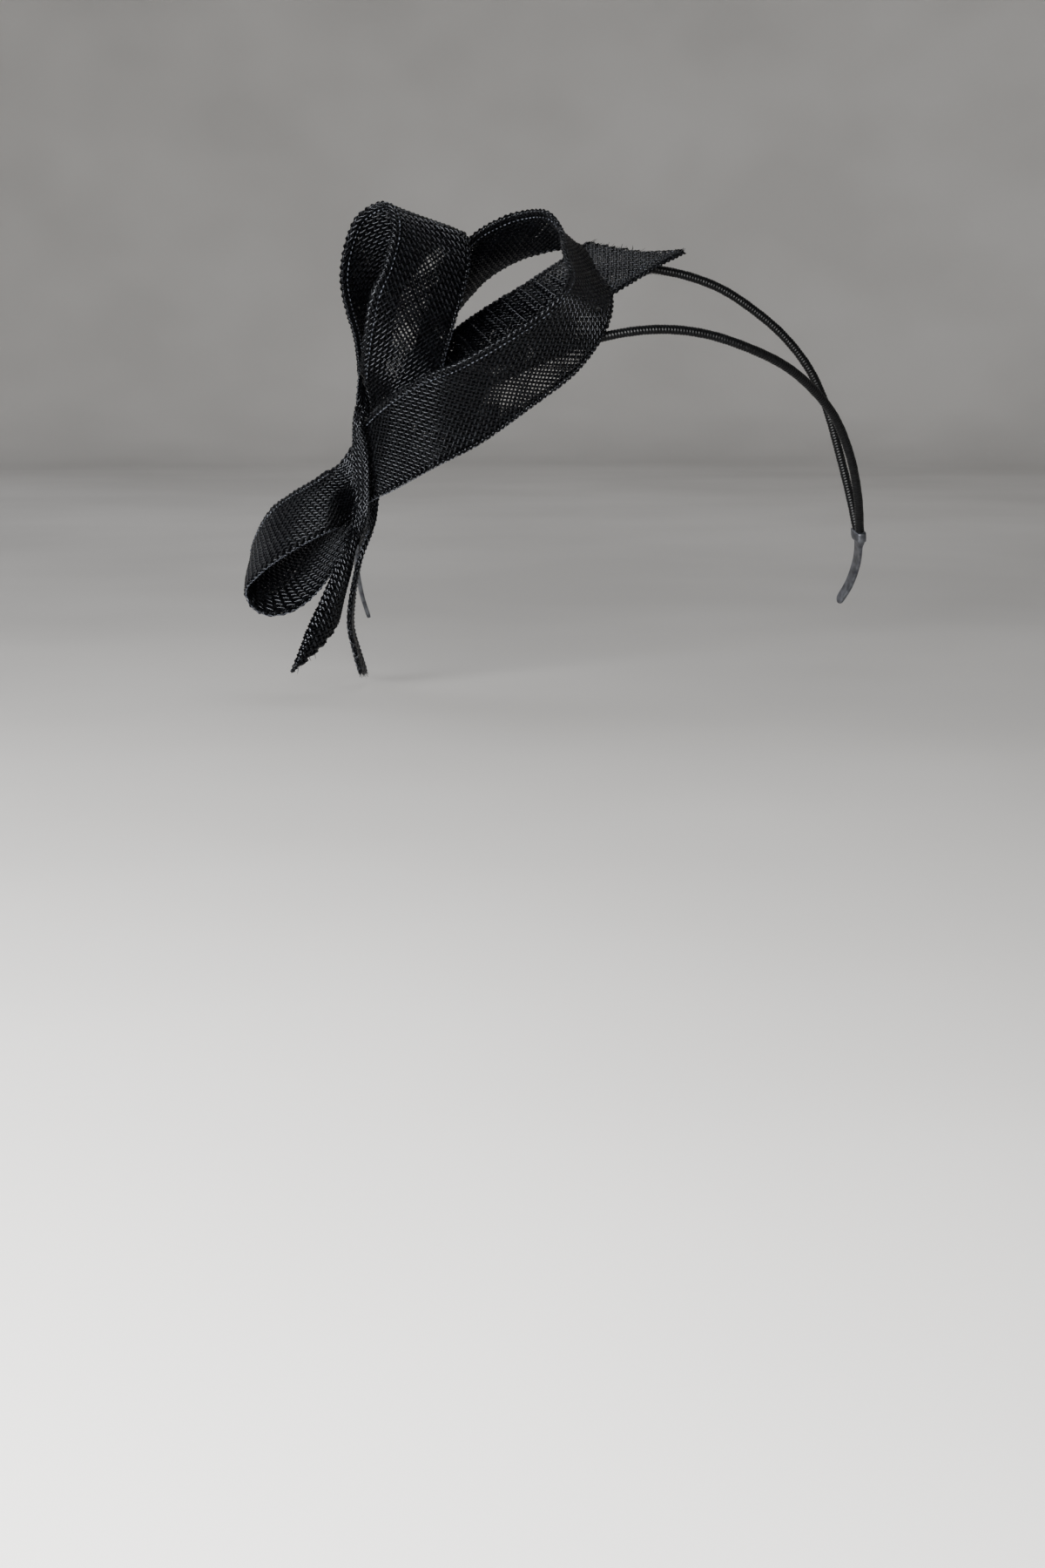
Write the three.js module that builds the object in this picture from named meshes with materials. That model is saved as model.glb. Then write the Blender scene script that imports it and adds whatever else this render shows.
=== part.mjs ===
// A fascinator: a bow of stiff woven ribbon sewn to one side of a springy double headband.
//
// Units are millimetres and +Z is up. The origin is the crown of the wearer's head, the
// wearer faces -Y and the wearer's left is +X, so the bow sits on the -X side.
// Each ribbon is a double layer of open woven cloth with folded hems along both edges.
import * as THREE from "three";
import { mergeVertices } from "three/addons/utils/BufferGeometryUtils.js";

// ---------------------------------------------------------------- driving sizes
const WIRE = 3.0; // thickness of each thread-wrapped wire of the headband
const WIRE_SIDES = 10;
const WIRE_STEPS = 52;
const CLOTH = 1.0; // wall of the ribbon, two layers of weave
const HEM = 1.6; // wall where the edge is folded over and stitched
const HEM_WIDE = 3.0; // how far the folded hem reaches in from the edge
const HEM_STEP = 0.8; // width of the step from hem to wall
const HEM_SHARE = 0.22; // the most of a gathered ribbon's width that one hem takes
const INNER_PLACE = 0.17; // places across the thin middle of a ribbon where its wall is drawn
const STEPS_PER_ROW = 3; // sections between two rows of a ribbon's table
const CUT_ROWS = 5; // how many rows before its end a slanting cut draws the sections in
const POINT_CUT = 3.2; // rows by which one edge of the pointed tail is cut short of the other
const END_CUT = 2.0; // the same for the slanting end of the right tail
const END_HOLLOW = 1.3; // how deep that end is hollowed, as four times the rows at its middle

// ---------------------------------------------------------------- tables
// Names the columns of a short table of rows.
function table(columns, rows) {
  return rows.map((row) => Object.fromEntries(columns.map((name, i) => [name, row[i]])));
}

// A wire's centre line, one row for each bend.
const WIRE_ROW = ["x", "y", "z"];

// A ribbon's row: middle of the ribbon, the way across it (need not be square to its run
// or of length one), its width there, and how far its middle bulges out of flat.
const RIBBON_ROW = ["x", "y", "z", "acrossX", "acrossY", "acrossZ", "wide", "bulge"];

const FRONT_WIRE = table(WIRE_ROW, [
  [-90.0, -18.0, -86.0],
  [-88.3, -21.5, -77.0],
  [-84.7, -26.3, -67.4],
  [-77.0, -33.5, -56.0],
  [-66.5, -41.5, -45.5],
  [-53.5, -49.0, -37.0],
  [-39.0, -55.0, -30.0],
  [-26.0, -58.7, -24.8],
  [-12.0, -61.0, -21.8],
  [0.0, -62.0, -21.3],
  [12.0, -62.0, -22.9],
  [25.6, -60.6, -27.0],
  [38.5, -56.3, -32.2],
  [49.7, -50.2, -39.0],
  [61.0, -42.5, -48.7],
  [69.3, -36.0, -61.5],
  [75.2, -29.0, -75.0],
  [78.8, -22.5, -85.5],
]);

const REAR_WIRE = table(WIRE_ROW, [
  [-90.2, -14.3, -86.6],
  [-88.0, -14.8, -76.0],
  [-83.0, -17.0, -61.0],
  [-73.5, -20.0, -45.5],
  [-63.0, -22.0, -33.0],
  [-51.5, -23.5, -22.2],
  [-39.5, -24.0, -13.8],
  [-28.0, -24.0, -8.0],
  [-14.0, -23.8, -3.4],
  [0.0, -23.5, -1.6],
  [9.0, -23.8, -2.6],
  [18.0, -24.0, -4.5],
  [28.3, -24.0, -8.2],
  [38.5, -24.0, -14.2],
  [49.6, -23.8, -22.7],
  [59.0, -23.3, -33.3],
  [66.0, -21.5, -45.5],
  [72.3, -19.5, -62.0],
  [76.8, -18.5, -76.0],
  [79.2, -18.8, -86.0],
]);

// The flat metal tongue that both wires end in, from the wires down behind the ear.
const TONGUE_ROW = [...RIBBON_ROW, "thick"];
const TONGUE_LEFT = table(TONGUE_ROW, [
  [-90.3, -16.0, -87.1, 0, 1, -0.05, 7.2, 0, 3.2],
  [-90.4, -15.4, -89.8, 0, 1, 0.15, 7.2, 0, 3.2],
  [-90.4, -14.9, -91.5, 0, 1, 0.3, 5.4, 0, 1.5],
  [-89.4, -12.0, -98.0, 0, 1, 0.4, 5.0, 0, 1.4],
  [-87.3, -8.0, -106.0, 0, 1, 0.4, 4.6, 0, 1.4],
  [-84.6, -4.0, -113.0, 0, 1, 0.4, 4.0, 0, 1.4],
]);
const TONGUE_RIGHT = table(TONGUE_ROW, [
  [79.2, -20.5, -86.6, 0, 1, -0.05, 7.2, 0, 3.2],
  [79.7, -19.7, -89.5, 0, 1, 0.15, 7.2, 0, 3.2],
  [80.0, -19.0, -91.2, 0, 1, 0.3, 5.4, 0, 1.5],
  [81.2, -15.0, -97.5, 0, 1, 0.4, 5.0, 0, 1.4],
  [80.8, -10.0, -105.5, 0, 1, 0.4, 4.6, 0, 1.4],
  [78.8, -5.0, -112.5, 0, 1, 0.4, 4.0, 0, 1.4],
]);

// One strip makes both big loops: it starts in the gather, runs up behind the upper loop,
// over and down as the right-hand loop, across the gather as the front of the bow, then
// out, round and back as the small rolled loop on the left.
const BOW_STRIP = table(RIBBON_ROW, [
  [-86.4, -32.1, -63.0, 0.77, -0.62, 0.00, 11, 0],
  [-83.2, -31.0, -53.0, 0.45, -0.88, 0.10, 16, 0],
  [-77.5, -30.5, -38.5, 0.00, -0.95, 0.25, 23, 0],
  [-69.5, -28.5, -23.0, -0.18, -0.88, 0.38, 29, 0],
  [-61.5, -27.0, -10.0, -0.25, -0.84, 0.47, 29, 1],
  [-53.0, -27.7, -0.1, -0.27, -0.83, 0.47, 29, 1],
  [-45.5, -30.7, 4.9, -0.27, -0.83, 0.44, 29, 1],
  [-38.8, -34.6, 7.6, -0.26, -0.85, 0.40, 29, 1],
  [-31.2, -40.0, 8.7, -0.41, -0.84, 0.33, 29, 1],
  [-27.4, -45.0, 6.4, -0.48, -0.86, 0.16, 29, 1],
  [-26.8, -54.6, -1.5, -0.58, -0.79, 0.19, 29, 1],
  [-26.4, -64.6, -9.2, -0.66, -0.72, 0.21, 29, 1],
  [-31.7, -72.1, -17.8, -0.63, -0.65, 0.43, 29, 1],
  [-41.1, -73.7, -27.0, -0.60, -0.57, 0.55, 29, 1],
  [-53.4, -71.7, -35.4, -0.48, -0.54, 0.69, 29, 1],
  [-63.6, -67.2, -42.3, -0.40, -0.46, 0.79, 29, 1],
  [-74.9, -61.3, -48.1, -0.20, -0.32, 0.93, 29, 1],
  [-84.0, -52.0, -54.5, -0.15, -0.22, 0.96, 28, 1],
  [-90.3, -42.5, -60.5, -0.12, 0.00, 0.98, 23.5, 0],
  [-93.4, -37.2, -65.5, -0.10, 0.12, 0.98, 20, 0],
  [-97.8, -37.5, -70.2, -0.10, 0.45, 0.88, 19, 0],
  [-104.0, -40.5, -73.5, -0.04, 0.82, 0.56, 26, 0],
  [-112.0, -41.5, -77.5, 0.01, 0.88, 0.47, 29, 0],
  [-119.0, -41.5, -82.0, 0.08, 0.87, 0.49, 29, 0],
  [-124.0, -40.0, -87.5, 0.14, 0.90, 0.42, 29, 0],
  [-127.0, -37.5, -93.0, 0.20, 0.91, 0.37, 29, 0],
  [-125.5, -37.3, -96.4, 0.15, 0.84, 0.52, 29, 0],
  [-120.5, -38.5, -97.5, 0.12, 0.79, 0.60, 29, 0],
  [-113.5, -38.8, -95.6, 0.11, 0.77, 0.63, 29, 0],
  [-106.0, -37.6, -90.9, 0.10, 0.78, 0.62, 27, 0],
  [-98.5, -34.4, -83.6, -0.05, 0.86, 0.50, 19, 0],
  [-94.0, -32.5, -77.5, -0.60, 0.78, 0.10, 10, 0],
]);

const UPPER_STRIP = table(RIBBON_ROW, [
  [-87.4, -33.7, -62.5, -0.77, 0.62, 0.00, 9, 0],
  [-86.9, -33.6, -53.0, -0.85, 0.50, 0.05, 8, 0],
  [-88.1, -32.8, -44.5, -0.78, -0.60, 0.05, 12, 0],
  [-87.3, -29.5, -35.0, -0.50, -0.85, 0.08, 21, 0],
  [-86.0, -27.5, -26.0, -0.53, -0.84, 0.09, 28, 0],
  [-87.0, -28.5, -17.0, -0.63, -0.77, 0.10, 29, 0],
  [-87.1, -31.5, -8.0, -0.75, -0.64, 0.17, 29, 0],
  [-84.3, -36.5, 1.0, -0.85, -0.47, 0.25, 29, 0],
  [-80.3, -43.2, 8.1, -0.90, -0.34, 0.26, 29, 0],
  [-74.0, -50.5, 10.9, -0.89, -0.31, 0.27, 29, 0],
  [-73.0, -54.8, 3.1, -0.88, -0.37, 0.30, 29, 0],
  [-75.2, -56.0, -6.0, -0.91, -0.36, 0.20, 29, 0],
  [-78.5, -55.6, -15.0, -0.92, -0.27, 0.28, 29, 0],
  [-80.5, -52.8, -24.5, -0.92, -0.27, 0.28, 28, 0],
  [-82.0, -48.5, -35.0, -0.92, -0.05, 0.22, 24, 0],
  [-84.2, -42.2, -44.0, -0.80, 0.58, 0.12, 13, 0],
  [-86.2, -37.0, -53.5, -0.78, 0.62, 0.05, 8, 0],
  [-88.0, -35.6, -62.5, -0.77, 0.62, 0.00, 7, 0],
]);

const TAIL_FRONT = table(RIBBON_ROW, [
  [-92.5, -41.9, -44.4, 0.50, -0.87, 0.00, 4.6, 0],
  [-93.8, -44.1, -48.6, 0.50, -0.87, 0.00, 4.2, 0],
  [-93.6, -43.6, -52.4, 0.55, -0.83, 0.00, 5.2, 0],
  [-93.2, -43.0, -56.7, 0.55, -0.83, 0.03, 6.4, 0],
  [-92.8, -42.4, -64.8, 0.50, -0.86, 0.04, 7.6, 0],
  [-92.8, -42.6, -72.5, 0.51, -0.86, 0.05, 7, 0],
  [-94.3, -44.0, -79.3, 0.95, -0.25, -0.05, 4, 0],
  [-97.3, -46.0, -85.9, 0.73, 0.66, -0.16, 6, 1],
  [-100.0, -48.0, -92.6, 0.60, 0.78, -0.20, 10, 2],
  [-103.0, -50.5, -99.0, 0.60, 0.77, -0.21, 11, 3],
  [-105.5, -52.7, -105.4, 0.62, 0.75, -0.23, 13, 3],
  [-108.3, -54.8, -111.6, 0.66, 0.71, -0.24, 14, 3],
  [-110.9, -56.4, -118.2, 0.68, 0.69, -0.25, 14, 2],
  [-114.0, -57.3, -124.6, 0.68, 0.68, -0.27, 13, 1],
]);

const TAIL_RIGHT = table(RIBBON_ROW, [
  [-84.3, -30.6, -63.6, -0.77, 0.62, 0.15, 11, 0],
  [-80.5, -31.0, -54.0, -0.35, 0.92, 0.15, 14, 0],
  [-73.0, -31.5, -42.8, -0.32, 0.90, 0.28, 16, 0],
  [-62.5, -33.5, -32.0, -0.38, 0.85, 0.36, 23, 0],
  [-49.0, -34.5, -22.7, -0.38, 0.85, 0.37, 28, 0],
  [-34.0, -34.0, -14.0, -0.34, 0.86, 0.37, 29, 0],
  [-19.5, -32.5, -5.2, -0.35, 0.85, 0.37, 29, 0],
  [-9.0, -28.5, 0.8, -0.34, 0.84, 0.40, 29, 0],
  [0.0, -24.5, 5.0, -0.30, 0.86, 0.42, 29, 0],
  [9.3, -20.0, 9.0, -0.29, 0.86, 0.41, 29, 0],
]);

const TAIL_BACK = table(RIBBON_ROW, [
  [-88.6, -30.8, -71.5, -0.65, 0.75, 0.00, 9, 0],
  [-89.5, -33.0, -77.5, -0.45, 0.88, 0.00, 10, 0],
  [-91.0, -36.8, -84.0, 0.00, 1.00, -0.04, 15, 0],
  [-93.5, -40.5, -91.5, 0.18, 0.97, -0.07, 18, 0],
  [-95.8, -42.0, -101.0, 0.18, 0.97, -0.10, 18, 0],
  [-96.5, -41.5, -111.0, 0.20, 0.97, -0.10, 18, 0],
  [-94.8, -40.5, -119.0, 0.22, 0.97, -0.12, 18, 0],
  [-92.4, -39.5, -126.5, 0.24, 0.96, -0.12, 18, 0],
]);

// ---------------------------------------------------------------- shapes
// The uniform Catmull-Rom spline through one column of a table, at row position s.
function spline(rows, column, s) {
  const last = rows.length - 1;
  const i = Math.min(Math.floor(s), last - 1);
  const f = s - i;
  const at = (k) => rows[Math.max(0, Math.min(last, k))][column];
  const [a, b, c, d] = [at(i - 1), at(i), at(i + 1), at(i + 2)];
  return b + 0.5 * f * (c - a + f * (2 * a - 5 * b + 4 * c - d + f * (3 * (b - c) + d - a)));
}

function splinePoint(rows, [cx, cy, cz], s) {
  return new THREE.Vector3(spline(rows, cx, s), spline(rows, cy, s), spline(rows, cz, s));
}

// Middle, across and outward directions of a ribbon at row position s.
function ribbonFrame(rows, s) {
  const reach = 0.02;
  const last = rows.length - 1;
  const middle = splinePoint(rows, ["x", "y", "z"], s);
  const ahead = splinePoint(rows, ["x", "y", "z"], Math.min(last, s + reach));
  const behind = splinePoint(rows, ["x", "y", "z"], Math.max(0, s - reach));
  const run = ahead.sub(behind).normalize();
  const across = splinePoint(rows, ["acrossX", "acrossY", "acrossZ"], s);
  across.normalize();
  const out = new THREE.Vector3().crossVectors(run, across).normalize();
  return { middle, across, out };
}

// Places across the ribbon from -0.5 to 0.5, with a wall thickness for each. Where the
// ribbon is gathered its hems are squeezed with it.
function hemmedSection(wide) {
  const hem = Math.min(HEM_WIDE / wide, HEM_SHARE);
  const step = hem + Math.min(HEM_STEP / wide, HEM_SHARE / 4);
  const edge = [[0.5, HEM], [0.5 - hem, HEM], [0.5 - step, CLOTH]];
  const inner = [[INNER_PLACE, CLOTH], [0, CLOTH], [-INNER_PLACE, CLOTH]];
  const mirrored = edge.map(([v, thick]) => [-v, thick]).reverse();
  return [...edge, ...inner, ...mirrored];
}

// A closed sheet along a ribbon's table. sectionAt(row position) lists [place across, wall].
// cut(place across) is how many rows short of the table's end the sheet stops there.
function sheet(rows, sectionAt, cut = () => 0) {
  const last = rows.length - 1;
  const steps = last * STEPS_PER_ROW;
  const positions = [];
  const index = [];
  const places = sectionAt(0).length;
  for (let i = 0; i <= steps; i++) {
    for (let j = 0; j < places; j++) {
      const whole = i / STEPS_PER_ROW;
      const place = sectionAt(whole)[j][0];
      const s = whole - cut(place) * Math.max(0, 1 - (last - whole) / CUT_ROWS);
      const { middle, across, out } = ribbonFrame(rows, s);
      const wide = spline(rows, "wide", s);
      const wall = sectionAt(whole)[j][1];
      const bulge = spline(rows, "bulge", s) * (1 - 4 * place * place);
      const core = middle.clone().addScaledVector(across, place * wide).addScaledVector(out, bulge);
      positions.push(...core.clone().addScaledVector(out, wall / 2).toArray());
      positions.push(...core.clone().addScaledVector(out, -wall / 2).toArray());
    }
  }
  const id = (i, j, side) => (i * places + j) * 2 + side;
  const quad = (a, b, c, d) => index.push(a, b, c, a, c, d);
  for (let i = 0; i < steps; i++) {
    for (let j = 0; j < places - 1; j++) {
      quad(id(i, j, 0), id(i, j + 1, 0), id(i + 1, j + 1, 0), id(i + 1, j, 0));
      quad(id(i, j, 1), id(i + 1, j, 1), id(i + 1, j + 1, 1), id(i, j + 1, 1));
    }
    quad(id(i, 0, 0), id(i + 1, 0, 0), id(i + 1, 0, 1), id(i, 0, 1));
    quad(id(i, places - 1, 0), id(i, places - 1, 1), id(i + 1, places - 1, 1), id(i + 1, places - 1, 0));
  }
  for (let j = 0; j < places - 1; j++) {
    quad(id(0, j, 0), id(0, j, 1), id(0, j + 1, 1), id(0, j + 1, 0));
    quad(id(steps, j, 0), id(steps, j + 1, 0), id(steps, j + 1, 1), id(steps, j, 1));
  }
  const geometry = new THREE.BufferGeometry();
  geometry.setAttribute("position", new THREE.Float32BufferAttribute(positions, 3));
  geometry.setIndex(index);
  geometry.computeVertexNormals();
  return geometry;
}

function ribbon(rows, cut) {
  return sheet(rows, (s) => hemmedSection(spline(rows, "wide", s)), cut);
}

// How many rows short of its table's end a tail is cut, at a place across it.
const pointedCut = (place) => POINT_CUT * (place + 0.5);
const slantingCut = (place) => END_CUT * (place + 0.5) + END_HOLLOW * (0.25 - place * place);

function tongue(rows) {
  const places = [0.5, 0.2, -0.2, -0.5];
  return sheet(rows, (s) => places.map((v) => [v, spline(rows, "thick", s)]));
}

function wire(rows) {
  const path = new THREE.CatmullRomCurve3(rows.map(({ x, y, z }) => new THREE.Vector3(x, y, z)));
  const round = new THREE.Shape();
  round.absarc(0, 0, WIRE / 2, 0, 2 * Math.PI);
  const options = { steps: WIRE_STEPS, extrudePath: path, curveSegments: WIRE_SIDES / 2 };
  const geometry = new THREE.ExtrudeGeometry(round, options);
  geometry.deleteAttribute("normal");
  geometry.deleteAttribute("uv");
  const merged = mergeVertices(geometry, 1e-3);
  merged.computeVertexNormals();
  return merged;
}

// ---------------------------------------------------------------- finishes
function finish(color, roughness, metalness) {
  return () => new THREE.MeshStandardMaterial({ color, roughness, metalness });
}
const wovenRibbon = finish(0x17181d, 0.6, 0);
const wrappedThread = finish(0x141416, 0.5, 0);
const bareMetal = finish(0x9a9aa0, 0.35, 1);

// ---------------------------------------------------------------- assembly
const fascinator = new THREE.Group();
fascinator.name = "fascinator";

function add(name, geometry, makeMaterial) {
  const mesh = new THREE.Mesh(geometry, makeMaterial());
  mesh.name = name;
  fascinator.add(mesh);
}

add("front_band", wire(FRONT_WIRE), wrappedThread);
add("rear_band", wire(REAR_WIRE), wrappedThread);
add("band_tongue_left", tongue(TONGUE_LEFT), bareMetal);
add("band_tongue_right", tongue(TONGUE_RIGHT), bareMetal);
add("bow_strip", ribbon(BOW_STRIP), wovenRibbon);
add("upper_strip", ribbon(UPPER_STRIP), wovenRibbon);
add("tail_front", ribbon(TAIL_FRONT, pointedCut), wovenRibbon);
add("tail_right", ribbon(TAIL_RIGHT, slantingCut), wovenRibbon);
add("tail_back", ribbon(TAIL_BACK), wovenRibbon);

export default fascinator;
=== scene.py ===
"""Dresses the fascinator: a bow of stiff woven ribbon on a springy double headband.

Lengths in the tables and in the fields of the classes are millimetres, angles are degrees,
and every mesh is turned to metres as it is made. +Z is up, the wearer faces -Y and the
origin is the crown of the head, as in the part's source.
"""
import logging
import math
from collections.abc import Callable
from dataclasses import dataclass, field
from enum import Enum

import bpy
import numpy as np
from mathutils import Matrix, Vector


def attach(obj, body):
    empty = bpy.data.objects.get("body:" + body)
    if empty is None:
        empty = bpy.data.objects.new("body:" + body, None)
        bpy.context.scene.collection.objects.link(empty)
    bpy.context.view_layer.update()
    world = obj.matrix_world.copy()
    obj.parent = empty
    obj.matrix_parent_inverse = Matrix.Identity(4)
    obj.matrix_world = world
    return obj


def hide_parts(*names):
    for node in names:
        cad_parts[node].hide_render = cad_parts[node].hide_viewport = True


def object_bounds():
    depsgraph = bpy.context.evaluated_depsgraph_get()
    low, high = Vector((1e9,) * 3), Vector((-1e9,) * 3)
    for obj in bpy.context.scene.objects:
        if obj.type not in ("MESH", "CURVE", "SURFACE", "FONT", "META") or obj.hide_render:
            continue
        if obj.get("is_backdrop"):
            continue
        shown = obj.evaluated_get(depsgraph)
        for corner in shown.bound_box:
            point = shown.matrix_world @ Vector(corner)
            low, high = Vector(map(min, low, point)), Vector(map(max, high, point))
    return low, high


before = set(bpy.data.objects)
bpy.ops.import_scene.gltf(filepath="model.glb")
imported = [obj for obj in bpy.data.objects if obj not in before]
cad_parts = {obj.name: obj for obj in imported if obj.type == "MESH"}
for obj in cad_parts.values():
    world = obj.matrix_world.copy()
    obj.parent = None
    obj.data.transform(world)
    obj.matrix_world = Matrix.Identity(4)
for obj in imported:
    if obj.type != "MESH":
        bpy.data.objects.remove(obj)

LOG = logging.getLogger("fascinator")
METRES = 0.001  # one millimetre in Blender's metres
THINNED = 0.40  # how much thinner the threads are in the middle of a light spot
END_ROOM = 18.0  # how far past a strip's ends its weave is laid before it is cut, mm
FLATTEST = 0.35  # share of its height that a hem keeps where it is pressed flattest
GUESSES = 14  # rounds in which the row through a flat point is found

# ------------------------------------------------------------------ tables
# Each row of a ribbon: x, y, z of its middle, the way across it as x, y, z (need not be
# of length one), its width there, and how far its middle bulges out of flat.
BOW_STRIP = np.array([
    [-86.4, -32.1, -63, 0.77, -0.62, 0, 11, 0],
    [-83.2, -31, -53, 0.45, -0.88, 0.1, 16, 0],
    [-77.5, -30.5, -38.5, 0, -0.95, 0.25, 23, 0],
    [-69.5, -28.5, -23, -0.18, -0.88, 0.38, 29, 0],
    [-61.5, -27, -10, -0.25, -0.84, 0.47, 29, 1],
    [-53, -27.7, -0.1, -0.27, -0.83, 0.47, 29, 1],
    [-45.5, -30.7, 4.9, -0.27, -0.83, 0.44, 29, 1],
    [-38.8, -34.6, 7.6, -0.26, -0.85, 0.4, 29, 1],
    [-31.2, -40, 8.7, -0.41, -0.84, 0.33, 29, 1],
    [-27.4, -45, 6.4, -0.48, -0.86, 0.16, 29, 1],
    [-26.8, -54.6, -1.5, -0.58, -0.79, 0.19, 29, 1],
    [-26.4, -64.6, -9.2, -0.66, -0.72, 0.21, 29, 1],
    [-31.7, -72.1, -17.8, -0.63, -0.65, 0.43, 29, 1],
    [-41.1, -73.7, -27, -0.6, -0.57, 0.55, 29, 1],
    [-53.4, -71.7, -35.4, -0.48, -0.54, 0.69, 29, 1],
    [-63.6, -67.2, -42.3, -0.4, -0.46, 0.79, 29, 1],
    [-74.9, -61.3, -48.1, -0.2, -0.32, 0.93, 29, 1],
    [-84, -52, -54.5, -0.15, -0.22, 0.96, 28, 1],
    [-90.3, -42.5, -60.5, -0.12, 0, 0.98, 23.5, 0],
    [-93.4, -37.2, -65.5, -0.1, 0.12, 0.98, 20, 0],
    [-97.8, -37.5, -70.2, -0.1, 0.45, 0.88, 19, 0],
    [-104, -40.5, -73.5, -0.04, 0.82, 0.56, 26, 0],
    [-112, -41.5, -77.5, 0.01, 0.88, 0.47, 29, 0],
    [-119, -41.5, -82, 0.08, 0.87, 0.49, 29, 0],
    [-124, -40, -87.5, 0.14, 0.9, 0.42, 29, 0],
    [-127, -37.5, -93, 0.2, 0.91, 0.37, 29, 0],
    [-125.5, -37.3, -96.4, 0.15, 0.84, 0.52, 29, 0],
    [-120.5, -38.5, -97.5, 0.12, 0.79, 0.6, 29, 0],
    [-113.5, -38.8, -95.6, 0.11, 0.77, 0.63, 29, 0],
    [-106, -37.6, -90.9, 0.1, 0.78, 0.62, 27, 0],
    [-98.5, -34.4, -83.6, -0.05, 0.86, 0.5, 19, 0],
    [-94, -32.5, -77.5, -0.6, 0.78, 0.1, 10, 0],
])
UPPER_STRIP = np.array([
    [-87.4, -33.7, -62.5, -0.77, 0.62, 0, 9, 0],
    [-86.9, -33.6, -53, -0.85, 0.5, 0.05, 8, 0],
    [-88.1, -32.8, -44.5, -0.78, -0.6, 0.05, 12, 0],
    [-87.3, -29.5, -35, -0.5, -0.85, 0.08, 21, 0],
    [-86, -27.5, -26, -0.53, -0.84, 0.09, 28, 0],
    [-87, -28.5, -17, -0.63, -0.77, 0.1, 29, 0],
    [-87.1, -31.5, -8, -0.75, -0.64, 0.17, 29, 0],
    [-84.3, -36.5, 1, -0.85, -0.47, 0.25, 29, 0],
    [-80.3, -43.2, 8.1, -0.9, -0.34, 0.26, 29, 0],
    [-74, -50.5, 10.9, -0.89, -0.31, 0.27, 29, 0],
    [-73, -54.8, 3.1, -0.88, -0.37, 0.3, 29, 0],
    [-75.2, -56, -6, -0.91, -0.36, 0.2, 29, 0],
    [-78.5, -55.6, -15, -0.92, -0.27, 0.28, 29, 0],
    [-80.5, -52.8, -24.5, -0.92, -0.27, 0.28, 28, 0],
    [-82, -48.5, -35, -0.92, -0.05, 0.22, 24, 0],
    [-84.2, -42.2, -44, -0.8, 0.58, 0.12, 13, 0],
    [-86.2, -37, -53.5, -0.78, 0.62, 0.05, 8, 0],
    [-88, -35.6, -62.5, -0.77, 0.62, 0, 7, 0],
])
TAIL_FRONT = np.array([
    [-92.5, -41.9, -44.4, 0.5, -0.87, 0, 4.6, 0],
    [-93.8, -44.1, -48.6, 0.5, -0.87, 0, 4.2, 0],
    [-93.6, -43.6, -52.4, 0.55, -0.83, 0, 5.2, 0],
    [-93.2, -43, -56.7, 0.55, -0.83, 0.03, 6.4, 0],
    [-92.8, -42.4, -64.8, 0.5, -0.86, 0.04, 7.6, 0],
    [-92.8, -42.6, -72.5, 0.51, -0.86, 0.05, 7, 0],
    [-94.3, -44, -79.3, 0.95, -0.25, -0.05, 4, 0],
    [-97.3, -46, -85.9, 0.73, 0.66, -0.16, 6, 1],
    [-100, -48, -92.6, 0.6, 0.78, -0.2, 10, 2],
    [-103, -50.5, -99, 0.6, 0.77, -0.21, 11, 3],
    [-105.5, -52.7, -105.4, 0.62, 0.75, -0.23, 13, 3],
    [-108.3, -54.8, -111.6, 0.66, 0.71, -0.24, 14, 3],
    [-110.9, -56.4, -118.2, 0.68, 0.69, -0.25, 14, 2],
    [-114, -57.3, -124.6, 0.68, 0.68, -0.27, 13, 1],
])
TAIL_RIGHT = np.array([
    [-84.3, -30.6, -63.6, -0.77, 0.62, 0.15, 11, 0],
    [-80.5, -31, -54, -0.35, 0.92, 0.15, 14, 0],
    [-73, -31.5, -42.8, -0.32, 0.9, 0.28, 16, 0],
    [-62.5, -33.5, -32, -0.38, 0.85, 0.36, 23, 0],
    [-49, -34.5, -22.7, -0.38, 0.85, 0.37, 28, 0],
    [-34, -34, -14, -0.34, 0.86, 0.37, 29, 0],
    [-19.5, -32.5, -5.2, -0.35, 0.85, 0.37, 29, 0],
    [-9, -28.5, 0.8, -0.34, 0.84, 0.4, 29, 0],
    [0, -24.5, 5, -0.3, 0.86, 0.42, 29, 0],
    [9.3, -20, 9, -0.29, 0.86, 0.41, 29, 0],
])
TAIL_BACK = np.array([
    [-88.6, -30.8, -71.5, -0.65, 0.75, 0, 9, 0],
    [-89.5, -33, -77.5, -0.45, 0.88, 0, 10, 0],
    [-91, -36.8, -84, 0, 1, -0.04, 15, 0],
    [-93.5, -40.5, -91.5, 0.18, 0.97, -0.07, 18, 0],
    [-95.8, -42, -101, 0.18, 0.97, -0.1, 18, 0],
    [-96.5, -41.5, -111, 0.2, 0.97, -0.1, 18, 0],
    [-94.8, -40.5, -119, 0.22, 0.97, -0.12, 18, 0],
    [-92.4, -39.5, -126.5, 0.24, 0.96, -0.12, 18, 0],
])
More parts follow.
